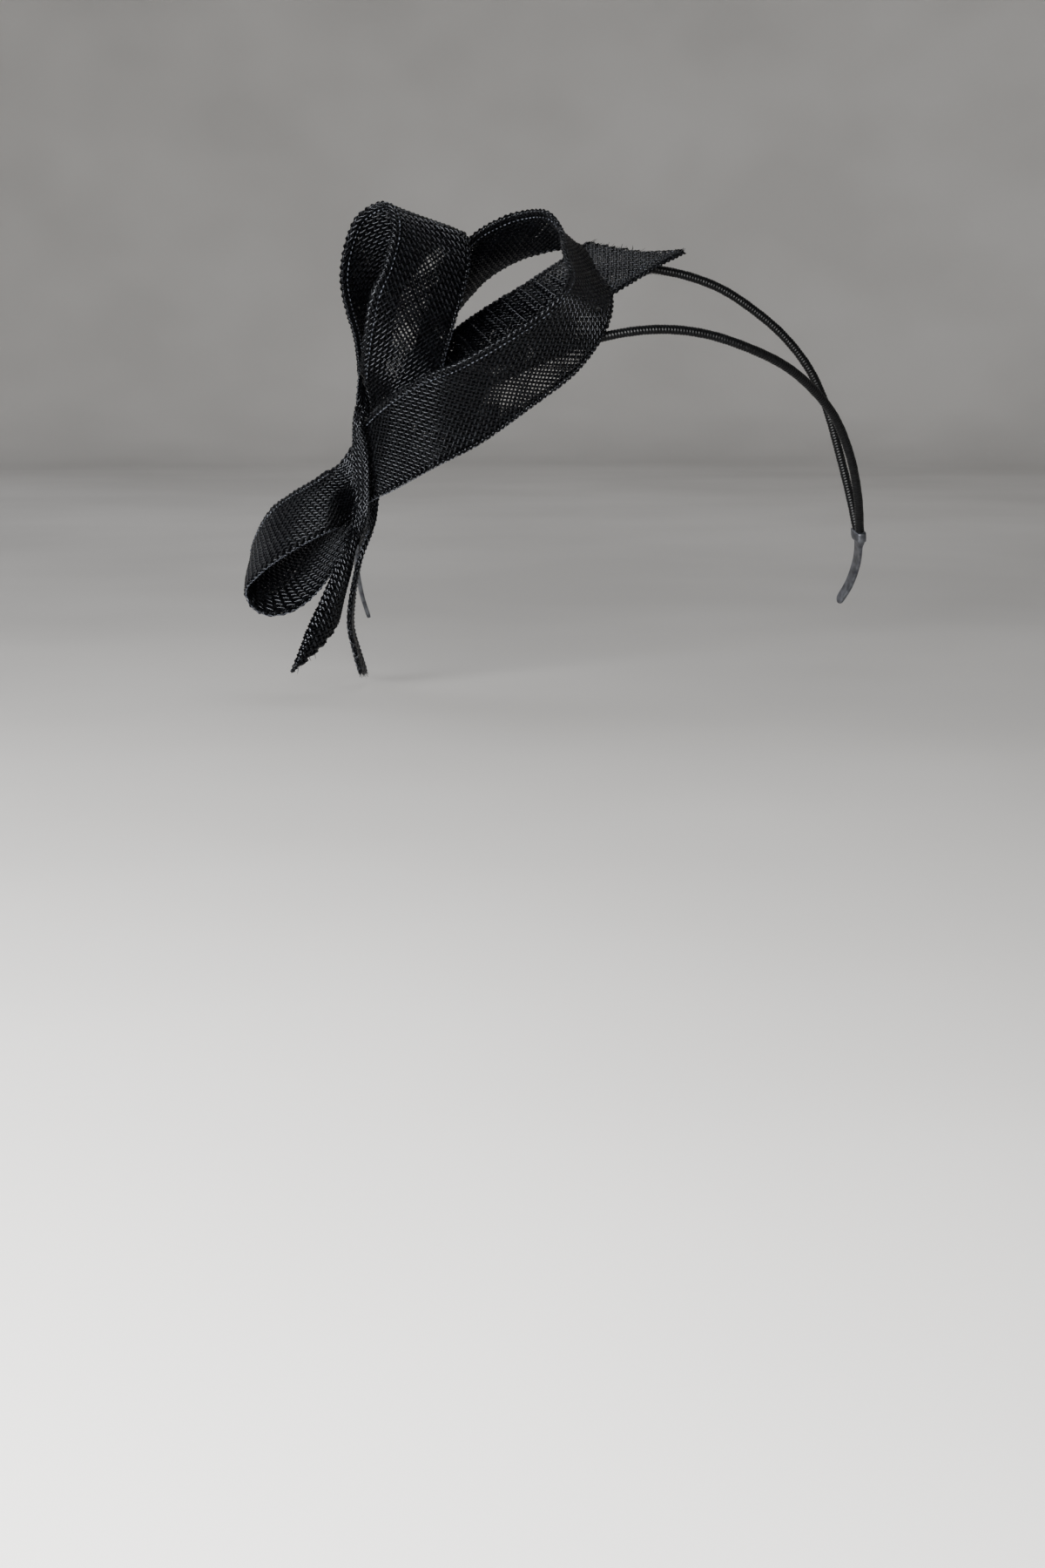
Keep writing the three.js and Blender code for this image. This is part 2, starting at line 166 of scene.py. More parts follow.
# Each row of a wire: x, y, z of a bend of its centre line.
FRONT_WIRE = np.array([
    [-90, -18, -86], [-88.3, -21.5, -77], [-84.7, -26.3, -67.4], [-77, -33.5, -56],
    [-66.5, -41.5, -45.5], [-53.5, -49, -37], [-39, -55, -30], [-26, -58.7, -24.8],
    [-12, -61, -21.8], [0, -62, -21.3], [12, -62, -22.9], [25.6, -60.6, -27],
    [38.5, -56.3, -32.2], [49.7, -50.2, -39], [61, -42.5, -48.7], [69.3, -36, -61.5],
    [75.2, -29, -75], [78.8, -22.5, -85.5],
])
REAR_WIRE = np.array([
    [-90.2, -14.3, -86.6], [-88, -14.8, -76], [-83, -17, -61], [-73.5, -20, -45.5],
    [-63, -22, -33], [-51.5, -23.5, -22.2], [-39.5, -24, -13.8], [-28, -24, -8],
    [-14, -23.8, -3.4], [0, -23.5, -1.6], [9, -23.8, -2.6], [18, -24, -4.5], [28.3, -24, -8.2],
    [38.5, -24, -14.2], [49.6, -23.8, -22.7], [59, -23.3, -33.3], [66, -21.5, -45.5],
    [72.3, -19.5, -62], [76.8, -18.5, -76], [79.2, -18.8, -86],
])
# Each row of a band's end: as a ribbon's row, with the thickness there in the last column.
TONGUE_LEFT = np.array([
    [-90.3, -16, -87.1, 0, 1, -0.05, 7.2, 3.2],
    [-90.4, -15.4, -89.8, 0, 1, 0.15, 7.2, 3.2],
    [-90.4, -14.9, -91.5, 0, 1, 0.3, 5.4, 1.5],
    [-89.4, -12, -98, 0, 1, 0.4, 5, 1.4],
    [-87.3, -8, -106, 0, 1, 0.4, 4.6, 1.4],
    [-84.6, -4, -113, 0, 1, 0.4, 4, 1.4],
])
TONGUE_RIGHT = np.array([
    [79.2, -20.5, -86.6, 0, 1, -0.05, 7.2, 3.2],
    [79.7, -19.7, -89.5, 0, 1, 0.15, 7.2, 3.2],
    [80, -19, -91.2, 0, 1, 0.3, 5.4, 1.5],
    [81.2, -15, -97.5, 0, 1, 0.4, 5, 1.4],
    [80.8, -10, -105.5, 0, 1, 0.4, 4.6, 1.4],
    [78.8, -5, -112.5, 0, 1, 0.4, 4, 1.4],
])


class Layer(Enum):
    """Which of a ribbon's two layers of weave, by the side of its middle that it lies on."""

    OUTER = 1.0
    INNER = -1.0


class Edge(Enum):
    """Which long edge of a ribbon, as a share of its width from the middle."""

    LEADING = 0.5
    TRAILING = -0.5


class Cut(Enum):
    """How the free end of a ribbon is cut."""

    SQUARE = "square"
    POINTED = "pointed"
    SLANTED = "slanted"


# ------------------------------------------------------------------ arrays and meshes
def unit(vectors: np.ndarray) -> np.ndarray:
    """Vectors made of length one."""
    return vectors / np.maximum(np.linalg.norm(vectors, axis=-1, keepdims=True), 1e-12)


def catmull_rom(rows: np.ndarray, s: np.ndarray) -> np.ndarray:
    """The uniform Catmull-Rom spline through every column of a table.

    Between two rows each column follows the cubic that passes through both and runs at
    each of them as the line between that row's two neighbours does.

    Args:
        rows: the table, one row for each knot.
        s: row positions, of any shape.

    Returns:
        One row of column values for each position.
    """
    last = len(rows) - 1
    i = np.clip(np.floor(s).astype(int), 0, last - 1)
    f = (s - i)[..., None]
    a, b, c, d = (rows[np.clip(i + k, 0, last)] for k in (-1, 0, 1, 2))
    return b + 0.5 * f * (c - a + f * (2 * a - 5 * b + 4 * c - d + f * (3 * (b - c) + d - a)))


def even_path(rows: np.ndarray, step: float) -> tuple[np.ndarray, np.ndarray]:
    """Points at even spacing along the centripetal Catmull-Rom curve through some rows.

    The cubic between two rows is the Hermite one whose end slopes come from the three
    chords round it, each weighted by the square root of its length.

    Args:
        rows: the bends of the centre line.
        step: the spacing wanted, in millimetres.

    Returns:
        The points, and the direction of the curve at each.
    """
    first, final = 2 * rows[0] - rows[1], 2 * rows[-1] - rows[-2]
    knots = np.vstack([first, rows, final])
    chord = np.sqrt(np.linalg.norm(np.diff(knots, axis=0), axis=1))
    x0, x1, x2, x3 = (knots[k:len(knots) - 3 + k] for k in range(4))
    d0, d1, d2 = (chord[k:len(chord) - 2 + k, None] for k in range(3))
    t1 = ((x1 - x0) / d0 - (x2 - x0) / (d0 + d1) + (x2 - x1) / d1) * d1
    t2 = ((x2 - x1) / d1 - (x3 - x1) / (d1 + d2) + (x3 - x2) / d2) * d1
    samples = 40  # of each cubic
    f = np.linspace(0, 1, samples, endpoint=False)[None, :, None]
    c0, c1 = x1[:, None], t1[:, None]
    c2 = (-3 * x1 + 3 * x2 - 2 * t1 - t2)[:, None]
    c3 = (2 * x1 - 2 * x2 + t1 + t2)[:, None]
    dense = np.vstack([(c0 + f * (c1 + f * (c2 + f * c3))).reshape(-1, 3), rows[-1:]])
    run = np.concatenate([[0], np.cumsum(np.linalg.norm(np.diff(dense, axis=0), axis=1))])
    at = np.linspace(0, run[-1], int(round(run[-1] / step)) + 1)
    points = np.stack([np.interp(at, run, dense[:, k]) for k in range(3)], -1)
    return points, unit(np.gradient(points, axis=0))


def tube_faces(rings: int, sides: int) -> list[np.ndarray]:
    """Faces of a closed tube: quads between its rings, and one face at each end.

    Args:
        rings: the number of rings.
        sides: points of a ring, anticlockwise about the way that the tube runs.

    Returns:
        The walls, the face at the start and the face at the end.
    """
    i = np.arange(rings - 1)[:, None] * sides
    k = np.arange(sides)[None, :]
    after = (k + 1) % sides
    walls = np.stack([i + k, i + after, i + sides + after, i + sides + k], -1).reshape(-1, 4)
    start = np.arange(sides)[::-1][None, :]
    end = np.arange(sides)[None, :] + (rings - 1) * sides
    return [walls, start, end]


def put(name: str, data: bpy.types.ID) -> bpy.types.Object:
    """Puts a mesh, a lamp or a camera in the scene.

    Args:
        name: the name of the new object.
        data: what it shows.

    Returns:
        The object, at the origin.
    """
    made = bpy.data.objects.new(name, data)
    bpy.context.scene.collection.objects.link(made)
    return made


def make_piece(
    name: str,
    points: np.ndarray,
    faces: list[np.ndarray],
    tone: np.ndarray,
    material: bpy.types.Material,
) -> bpy.types.Object:
    """Puts whole arrays into a mesh and rides the piece on the body.

    Args:
        name: the piece's name.
        points: vertices, in millimetres.
        faces: arrays of vertex numbers, one row a face, each array of one face size.
        tone: a value from 0 to 1 at each vertex, which its material reads.
        material: the finish.

    Returns:
        The piece, at the origin with its place in its mesh.
    """
    corners = np.concatenate([part.ravel() for part in faces]).astype(np.int32)
    sizes = np.concatenate([np.full(len(part), part.shape[1]) for part in faces])
    starts = np.concatenate([[0], np.cumsum(sizes)[:-1]]).astype(np.int32)
    mesh = bpy.data.meshes.new(name)
    mesh.vertices.add(len(points))
    mesh.vertices.foreach_set("co", (points * METRES).astype(np.float32).ravel())
    mesh.loops.add(len(corners))
    mesh.loops.foreach_set("vertex_index", corners)
    mesh.polygons.add(len(sizes))
    mesh.polygons.foreach_set("loop_start", starts)
    mesh.update(calc_edges=True)
    mesh.polygons.foreach_set("use_smooth", np.ones(len(sizes), dtype=bool))
    values = mesh.attributes.new("tone", "FLOAT", "POINT")
    values.data.foreach_set("value", np.clip(tone, 0, 1).astype(np.float32))
    mesh.validate()
    mesh.materials.append(material)
    piece = put(name, mesh)
    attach(piece, "root")
    LOG.info("%s: %d triangles", name, int((sizes - 2).sum()))
    return piece


@dataclass
class Strands:
    """Many thin closed threads in one mesh, gathered as arrays before it is made.

    A thread is a row of diamond rings of four points, joined by quads, with a quad at each
    end. Smooth shading rounds the diamond off.
    """

    points: list[np.ndarray] = field(default_factory=list)
    faces: list[np.ndarray] = field(default_factory=list)
    tones: list[np.ndarray] = field(default_factory=list)
    count: int = 0

    def add(
        self,
        middle: np.ndarray,
        side: np.ndarray,
        rise: np.ndarray,
        tone: np.ndarray,
        keep: np.ndarray | None = None,
    ) -> None:
        """Adds a batch of threads.

        A ring's four points stand at middle plus side, plus rise, minus side, minus rise,
        which run anticlockwise about the thread's direction when side crossed with rise
        points along it.

        Args:
            middle: ring middles, shaped (threads, rings, 3).
            side: half the thread's width, as a vector at each ring.
            rise: half the thread's thickness, as a vector at each ring.
            tone: a value from 0 to 1 at each ring.
            keep: which rings exist; a gap in it ends one thread and starts another.
        """
        if keep is None:
            keep = np.ones(middle.shape[:2], dtype=bool)
        number = np.full(keep.shape, -1)
        number[keep] = np.arange(keep.sum()) + self.count // 4
        ring = np.stack([middle + side, middle + rise, middle - side, middle - rise], 2)[keep]
        joined = keep[:, :-1] & keep[:, 1:]
        a, b = number[:, :-1][joined] * 4, number[:, 1:][joined] * 4
        walls = [np.stack([a + k, a + (k + 1) % 4, b + (k + 1) % 4, b + k], -1) for k in range(4)]
        before = np.pad(joined, ((0, 0), (1, 0)))
        after = np.pad(joined, ((0, 0), (0, 1)))
        starts = number[keep & ~before & after] * 4
        ends = number[keep & before & ~after] * 4
        self.faces += walls
        self.faces.append(starts[:, None] + np.array([3, 2, 1, 0]))
        self.faces.append(ends[:, None] + np.array([0, 1, 2, 3]))
        self.points.append(ring.reshape(-1, 3))
        self.tones.append(np.repeat(tone[keep], 4))
        self.count += len(ring) * 4

    def piece(self, name: str, material: bpy.types.Material, slot: str) -> bpy.types.Object:
        """Makes the gathered threads one piece, without the points that no face uses.

        Args:
            name: the piece's name.
            material: its finish.
            slot: not used.

        Returns:
            The piece.
        """
        points, tones = np.concatenate(self.points), np.concatenate(self.tones)
        faces = [part for part in self.faces if len(part)]
        used = np.unique(np.concatenate([part.ravel() for part in faces]))
        renumber = np.zeros(len(points), dtype=np.int64)
        renumber[used] = np.arange(len(used))
        faces = [renumber[part] for part in faces]
        return make_piece(name, points[used], faces, tones[used], material)


# ------------------------------------------------------------------ finishes
def linear(hex_colour: str) -> tuple[float, float, float, float]:
    """An sRGB hex colour as linear red, green, blue and alpha."""
    parts = [int(hex_colour[k:k + 2], 16) / 255 for k in (1, 3, 5)]
    return (*(c / 12.92 if c <= 0.04045 else ((c + 0.055) / 1.055) ** 2.4 for c in parts), 1.0)


def feed(tree: bpy.types.NodeTree, target: bpy.types.Node, inputs: dict) -> None:
    """Gives a node its inputs.

    Args:
        tree: the material's node tree.
        target: the node.
        inputs: input name or number to a constant, which is set on the node's own socket,
            or to another node's output, which is linked.
    """
    for name, value in inputs.items():
        if isinstance(value, bpy.types.NodeSocket):
            tree.links.new(value, target.inputs[name])
        else:
            target.inputs[name].default_value = value


def node(tree: bpy.types.NodeTree, kind: str, inputs: dict, **settings) -> bpy.types.Node:
    """Adds a node with its settings, its constant inputs and its links.

    Args:
        tree: the material's node tree.
        kind: the node's type name.
        inputs: what feed takes.
        settings: properties of the node itself.

    Returns:
        The new node.
    """
    made = tree.nodes.new(kind)
    for name, value in settings.items():
        setattr(made, name, value)
    feed(tree, made, inputs)
    return made


def ramp(made: bpy.types.Node, stops: list[tuple[float, str]]) -> bpy.types.NodeSocket:
    """Sets a colour ramp's stops.

    Args:
        made: the ramp.
        stops: a place from 0 to 1 and a hex colour, each.

    Returns:
        The ramp's colour output.
    """
    elements = made.color_ramp.elements
    while len(elements) < len(stops):
        elements.new(0.5)
    for element, (place, colour) in zip(elements, stops):
        element.position = place
        element.color = linear(colour)
    return made.outputs["Color"]


def start_finish(
    name: str,
) -> tuple[bpy.types.Material, bpy.types.NodeTree, bpy.types.Node, bpy.types.NodeSocket]:
    """Starts a material.

    Args:
        name: the finish's name.

    Returns:
        The material, its node tree, its shader, and the place of each point on the piece.
    """
    made = bpy.data.materials.new(name)
    made.use_nodes = True
    tree = made.node_tree
    place = node(tree, "ShaderNodeTexCoord", {}).outputs["Object"]
    return made, tree, tree.nodes["Principled BSDF"], place


@dataclass(frozen=True)
class LacqueredAbaca:
    """Black-dyed abaca thread, woven open and stiffened with lacquer.

    The fibre is split from a leaf stalk, so it is flat and finely streaked, and the lacquer
    gives it a soft bluish-grey shine on the crown of every thread.
    """

    name: str = "lacquered_abaca"
    deep: str = "#010102"
    middle: str = "#030304"
    palest: str = "#08090b"
    roughness: float = 0.27
    shine: float = 0.30  # level of the mirror part, 0.5 being plain lacquer
    tint: str = "#e6ebf6"  # the cool cast of that shine
    coat: float = 0.10  # the lacquer is thin, and wiped off most of the thread
    coat_roughness: float = 0.14
    streak: float = 0.25  # width of a fibre streak, mm
    patch: float = 6.0  # size of a lighter or darker patch of dye, mm
    relief: float = 0.06  # height of the streaks, mm

    def build(self) -> bpy.types.Material:
        """Makes the material, whose colour adds up streak, patch and the thread's own tone.

        Returns:
            The material.
        """
        made, tree, shader, place = start_finish(self.name)
        tone = node(tree, "ShaderNodeAttribute", {}, attribute_name="tone").outputs["Fac"]
        fine = node(tree, "ShaderNodeTexNoise", {
            "Vector": place, "Scale": 1 / (self.streak * METRES), "Detail": 3.0, "Roughness": 0.6})
        broad = node(tree, "ShaderNodeTexNoise", {
            "Vector": place, "Scale": 1 / (self.patch * METRES), "Detail": 2.0})
        mixed = node(tree, "ShaderNodeMath", {
            0: tone, 1: broad.outputs["Fac"]}, operation="ADD")
        spread = node(tree, "ShaderNodeMath", {
            0: fine.outputs["Fac"], 1: 0.5, 2: mixed.outputs[0]}, operation="MULTIPLY_ADD")
        halved = node(tree, "ShaderNodeMath", {0: spread.outputs[0], 1: 0.5}, operation="MULTIPLY")
        colour = node(tree, "ShaderNodeValToRGB", {"Fac": halved.outputs[0]})
        rough = node(tree, "ShaderNodeMapRange", {
            "Value": fine.outputs["Fac"], "From Min": 0.3, "From Max": 0.7,
            "To Min": self.roughness - 0.08, "To Max": self.roughness + 0.12})
        bump = node(tree, "ShaderNodeBump", {
            "Height": fine.outputs["Fac"], "Strength": 0.5, "Distance": self.relief * METRES})
        feed(tree, shader, {
            "Base Color": ramp(colour, [(0.25, self.deep), (0.6, self.middle), (0.95, self.palest)]),
            "Roughness": rough.outputs["Result"],
            "Normal": bump.outputs["Normal"],
            "IOR": 1.5,
            "Specular IOR Level": self.shine,
            "Specular Tint": linear(self.tint),
            "Coat Weight": self.coat,
            "Coat Roughness": self.coat_roughness,
        })
        return made


@dataclass(frozen=True)
class WrappedThread:
    """Black polyester thread wound close round a wire.

    Each turn is a fine satin ridge, which gives the band a soft line of light along its top
    and an even, slightly fuzzy black elsewhere.
    """

    name: str = "wrapped_thread"
    deep: str = "#010102"
    pale: str = "#050607"
    roughness: float = 0.38
    shine: float = 0.2  # level of the mirror part, low because the fibres scatter it
    fuzz: float = 0.02
    fibre: float = 0.15  # width of one fibre of the thread, mm
    relief: float = 0.05  # height of a fibre, mm

    def build(self) -> bpy.types.Material:
        """Makes the material, whose colour adds the fibres to each turn's own tone.

        Returns:
            The material.
        """
        made, tree, shader, place = start_finish(self.name)
        tone = node(tree, "ShaderNodeAttribute", {}, attribute_name="tone").outputs["Fac"]
        fine = node(tree, "ShaderNodeTexNoise", {
            "Vector": place, "Scale": 1 / (self.fibre * METRES), "Detail": 2.0})
        mixed = node(tree, "ShaderNodeMath", {
            0: fine.outputs["Fac"], 1: 0.4, 2: tone}, operation="MULTIPLY_ADD")
        colour = node(tree, "ShaderNodeValToRGB", {"Fac": mixed.outputs[0]})
        rough = node(tree, "ShaderNodeMapRange", {
            "Value": fine.outputs["Fac"],
            "To Min": self.roughness - 0.1, "To Max": self.roughness + 0.1})
        bump = node(tree, "ShaderNodeBump", {
            "Height": fine.outputs["Fac"], "Strength": 0.4, "Distance": self.relief * METRES})
        feed(tree, shader, {
            "Base Color": ramp(colour, [(0.2, self.deep), (1.0, self.pale)]),
            "Roughness": rough.outputs["Result"],
            "Normal": bump.outputs["Normal"],
            "IOR": 1.55,
            "Specular IOR Level": self.shine,
            "Sheen Weight": self.fuzz,
            "Sheen Roughness": 0.4,
        })
        return made


@dataclass(frozen=True)
class RolledSteel:
    """Bare spring steel, rolled flat and left dull, at the ends of the bands.

    The rolling leaves fine lines along the strip, and handling leaves duller patches.
    """

    name: str = "rolled_steel"
    bright: str = "#85878d"
    dull: str = "#55575d"
    roughness: float = 0.36
    line: float = 0.12  # spacing of the rolling lines, mm
    drawn: float = 0.06  # how much a line is drawn out along the strip
    relief: float = 0.02  # depth of a line, mm
    patch: float = 2.5  # size of a duller patch, mm

    def build(self) -> bpy.types.Material:
        """Makes the material.

        Returns:
            The material.
        """
        made, tree, shader, place = start_finish(self.name)
        along = node(tree, "ShaderNodeMapping", {"Vector": place, "Scale": (1.0, 1.0, self.drawn)})
        lines = node(tree, "ShaderNodeTexNoise", {
            "Vector": along.outputs["Vector"], "Scale": 1 / (self.line * METRES), "Detail": 2.0})
        broad = node(tree, "ShaderNodeTexNoise", {
            "Vector": place, "Scale": 1 / (self.patch * METRES), "Detail": 3.0})
        colour = node(tree, "ShaderNodeValToRGB", {"Fac": broad.outputs["Fac"]})
        rough = node(tree, "ShaderNodeMapRange", {
            "Value": broad.outputs["Fac"],
            "To Min": self.roughness - 0.08, "To Max": self.roughness + 0.18})
        bump = node(tree, "ShaderNodeBump", {
            "Height": lines.outputs["Fac"], "Strength": 0.35, "Distance": self.relief * METRES})
        feed(tree, shader, {
            "Base Color": ramp(colour, [(0.3, self.dull), (0.7, self.bright)]),
            "Roughness": rough.outputs["Result"],
            "Normal": bump.outputs["Normal"],
            "Metallic": 1.0,
        })
        return made


@dataclass(frozen=True)
class MattePaint:
    """Pale matt paint of the studio floor, with the faint cloudiness of a roller."""

    name: str = "matte_paint"
    pale: str = "#d2d0cd"
    shade: str = "#c8c6c3"
    cloud: float = 180.0  # size of a cloud, mm

    def build(self) -> bpy.types.Material:
        """Makes the material.

        Returns:
            The material.
        """
        made, tree, shader, place = start_finish(self.name)
        cloud = node(tree, "ShaderNodeTexNoise", {
            "Vector": place, "Scale": 1 / (self.cloud * METRES), "Detail": 2.0})
        colour = node(tree, "ShaderNodeValToRGB", {"Fac": cloud.outputs["Fac"]})
        base = ramp(colour, [(0.35, self.shade), (0.65, self.pale)])
        feed(tree, shader, {"Base Color": base, "Roughness": 0.85})
        return made


# ------------------------------------------------------------------ ribbons
@dataclass(frozen=True)
class Weave:
    """The sizes of an open plain weave, cut on the bias, in millimetres."""

    pitch: float = 1.30  # spacing of the threads in both directions
    wide: float = 0.92  # width of a flat thread
    thick: float = 0.42
    wave: float = 0.22  # how far a thread rises and dips from the middle of its layer
    uneven: float = 0.09  # how far a thread strays from its place
    varied: float = 0.13  # how much the threads differ in width, as a share of it


TURNED_IN = Weave(wide=0.94, thick=0.38, wave=0.21, uneven=0.08)


@dataclass(frozen=True)
class Hem:
    """How a long edge of a ribbon is finished, in millimetres."""

    reach: float = 3.0  # how far the turned-in cloth reaches from the edge
    fold: float = 0.46  # radius of the fold at the edge
    loops: float = 0.0  # how far the loops of a selvedge stand out, none on a sewn hem
    stitched: bool = True
    weave: Weave = TURNED_IN


SELVEDGE = Hem(reach=1.4, fold=0.36, loops=0.42)


@dataclass(frozen=True)
class LooseFibre:
    """The sizes of the fibres that come loose where the cloth is cut, in millimetres."""

    long: tuple[float, float] = (1.0, 2.9)
    from_edge: float = 4.5  # length of a thread that has left a long edge
    rooted: float = 1.0  # how far inside the cut it starts
    thick: tuple[float, float] = (0.16, 0.34)
    thinning: float = 0.6  # share of its thickness that it loses towards its tip
    splay: tuple[float, float] = (0.2, 0.9)  # slant across the strip, as a tangent
    curl: float = 0.5  # most that it lifts off the cloth, as a share of its length
    drop: float = 0.35  # most that it bends sideways, as a share of its length


@dataclass
class Ribbon:
    """A strip of doubled open weave with folded hems, along a table of rows.

    A point of the flat strip lies p along and q across it. Across it, q is squeezed by the
    share of the cut width that is left there, so a gather crowds the threads and rucks them
    up. Along it, a row of the table that leans meets the two edges at different lengths,
    and the lean of the rows says how different.
    """

    name: str
    node_name: str
    rows: np.ndarray
    cut_width: float
    seed: int
    rests_on: str
    held: str = "folded"
    cut: Cut = Cut.SQUARE
    leading: Hem = Hem()
    trailing: Hem = Hem()
    hem_least: float = 0.74  # share of the width under which a hem is lost in a gather
    apart: float = 0.33  # height of a layer over the ribbon's middle
    turn: float = 1.7  # degrees between the threads of the two layers
    shift: tuple[float, float] = (0.43, 0.43)  # of the inner layer, as shares of the pitch
    ruck: float = 0.4  # height of the rucks where the cloth is squeezed to nothing
    rucks: int = 5  # number of rucks across
    ripple: float = 0.0  # height of the ribs across the strip
    ripple_pitch: float = 2.6
    ripple_rows: tuple[float, float] = (0.0, 0.0)
    dense: float = 0.0  # how much wider the threads look where the cloth is packed
    dense_rows: tuple[float, float] = (0.0, 0.0)
    spots: tuple[tuple[float, float, float], ...] = ()  # row, share across, reach, of thin threads
    unevenness: float = 0.18  # height of the slow rise and fall of the whole cloth
    frayed: int = 0  # number of loose fibres at the free end
    loose_rows: tuple[float, ...] = ()  # where a thread has come loose from the trailing edge
    weave: Weave = Weave()
    fibre: LooseFibre = LooseFibre()

    def __post_init__(self) -> None:
        """Measures the centre line, and the lean of the rows smoothed along it."""
        self.last = len(self.rows) - 1
        samples = 60  # from each row to the next
        self.knots = np.linspace(0, self.last, samples * self.last + 1)
        line = catmull_rom(self.rows, self.knots)
        steps = np.linalg.norm(np.diff(line[:, :3], axis=0), axis=1)
        self.measure = np.concatenate([[0], np.cumsum(steps)])
        self.length = float(self.measure[-1])
        run = unit(np.gradient(line[:, :3], axis=0))
        lean = (unit(line[:, 3:6]) * run).sum(-1) * line[:, 6] / self.cut_width
        self.even = np.arange(0, self.length + 1, 1.0)
        reach, spread = 24, 7.0  # steps and standard deviation of the smoothing, mm
        bell = np.exp(-0.5 * (np.arange(-reach, reach + 1) / spread) ** 2)
        padded = np.pad(np.interp(self.even, self.measure, lean), reach, mode="edge")
        self.lean = np.convolve(padded, bell / bell.sum(), "valid")

    def hem(self, edge: Edge) -> Hem:
        """The hem of one edge."""
        return self.leading if edge is Edge.LEADING else self.trailing

    def row_at(self, m: np.ndarray) -> np.ndarray:
        """Row position at a length of the centre line."""
        return np.interp(m, self.measure, self.knots)

    def middle_at(self, p: np.ndarray, q: np.ndarray) -> np.ndarray:
        """Length at which the row through a flat point crosses the centre line.

        It is p less q times the row's lean, found by taking the lean of the last guess.

        Args:
            p: lengths along the strip.
            q: places across it.

        Returns:
            Lengths of the centre line.
        """
        m = p + 0 * q
        for _ in range(GUESSES):
            m = p - q * np.interp(m, self.even, self.lean)
        return m

    def along_at(self, m: np.ndarray, q: np.ndarray) -> np.ndarray:
        """The p of the flat point at q on the row that crosses the centre line at m."""
        return m + q * np.interp(m, self.even, self.lean)

    def share_at(self, m: np.ndarray) -> np.ndarray:
        """Share of the cut width that is left at a length of the centre line."""
        return catmull_rom(self.rows, self.row_at(m))[..., 6] / self.cut_width

    def end_at(self, q: np.ndarray) -> np.ndarray:
        """Length of the centre line at which the strip is cut, for places q across it.

        A pointed cut draws one edge 3.2 rows short of the other. A slanted cut draws it 2
        rows short, and its middle hollows by a parabola 1.3 rows times a quarter deep.

        Args:
            q: places across the strip.

        Returns:
            Lengths of the centre line.
        """
        v = q / self.cut_width
        short = {
            Cut.SQUARE: 0.0 * v,
            Cut.POINTED: 3.2 * (v + 0.5),
            Cut.SLANTED: 2.0 * (v + 0.5) + 1.3 * (0.25 - v * v),
        }[self.cut]
        return np.interp(self.last - short, self.knots, self.measure)

    def surface(self, p: np.ndarray, q: np.ndarray, lift: np.ndarray | float) -> np.ndarray:
        """Places flat points in space.

        The point is the middle of its row, plus the way across times the squeezed q, plus
        the outward way times the sum of the lift, the bulge (a parabola across), the rucks
        (cosines across, higher where the cloth is squeezed), the ribs (cosines along) and
        a slow unevenness (a product of two sines). Rucks and ribs run a little askew, and
        the numbers that multiply p and q are radians a millimetre.

        Args:
            p: lengths along the strip.
            q: places across it, from minus to plus half its cut width.
            lift: heights over its middle layer.

        Returns:
            Points, in millimetres.
        """
        s = self.row_at(self.middle_at(p, q))
        row = catmull_rom(self.rows, s)
        near = 0.02  # rows to each side between which the strip's direction is taken
        ahead = catmull_rom(self.rows, np.minimum(s + near, self.last))[..., :3]
        behind = catmull_rom(self.rows, np.maximum(s - near, 0))[..., :3]
        across = unit(row[..., 3:6])
        out = unit(np.cross(unit(ahead - behind), across))
        v = q / self.cut_width
        squeeze = np.clip(1 - row[..., 6] / self.cut_width, 0, 1)
        rucks = self.ruck * squeeze * np.cos(2 * np.pi * self.rucks * v + 0.06 * p)
        low, high = self.ripple_rows
        inside = np.clip((s - low) * 2, 0, 1) * np.clip((high - s) * 2, 0, 1)
        inside = inside * (1 - (2 * v) ** 4)
        ribs = self.ripple * inside * np.cos(2 * np.pi * p / self.ripple_pitch + 0.05 * q)
        slow = self.unevenness * np.sin(0.21 * p + self.seed) * np.sin(0.27 * q + 0.11 * p)
        height = lift + row[..., 7] * (1 - 4 * v * v) + rucks + ribs + slow
        return row[..., :3] + across * (v * row[..., 6])[..., None] + out * height[..., None]

    def across_fold(self, f: np.ndarray, edge: Edge) -> tuple[np.ndarray, np.ndarray]:
        """The q and the height of a place on the hem, f along the way round its fold.

        The hem runs out on the outer face, half round the edge on a circle, and back on the
        inner face.

        Args:
            f: lengths round the fold, from 0 at the hem's raw edge on the outer face.
            edge: which edge of the strip.

        Returns:
            The places across the strip, and the heights over its middle.
        """
        hem = self.hem(edge)
        turn = np.clip((f - hem.reach) / hem.fold, 0, np.pi)
        back = np.maximum(f - hem.reach - np.pi * hem.fold, 0)
        out = np.minimum(f, hem.reach) - hem.reach
        inward = out - back + hem.fold * np.sin(turn) - hem.fold
        return 2 * edge.value * (self.cut_width / 2 + inward), hem.fold * np.cos(turn)

    def folded(self, p: np.ndarray, f: np.ndarray, edge: Edge) -> np.ndarray:
        """Places a point of the hem, pressed flatter where the cloth is gathered.

        Args:
            p: lengths along the strip.
            f: lengths round the fold, from 0 at the hem's raw edge on the outer face.
            edge: which edge of the strip.

        Returns:
            Points, in millimetres.
        """
        q, height = self.across_fold(f, edge)
        pressed = np.clip(self.share_at(self.middle_at(p, q)), FLATTEST, 1)
        return self.surface(p, q, height * pressed)

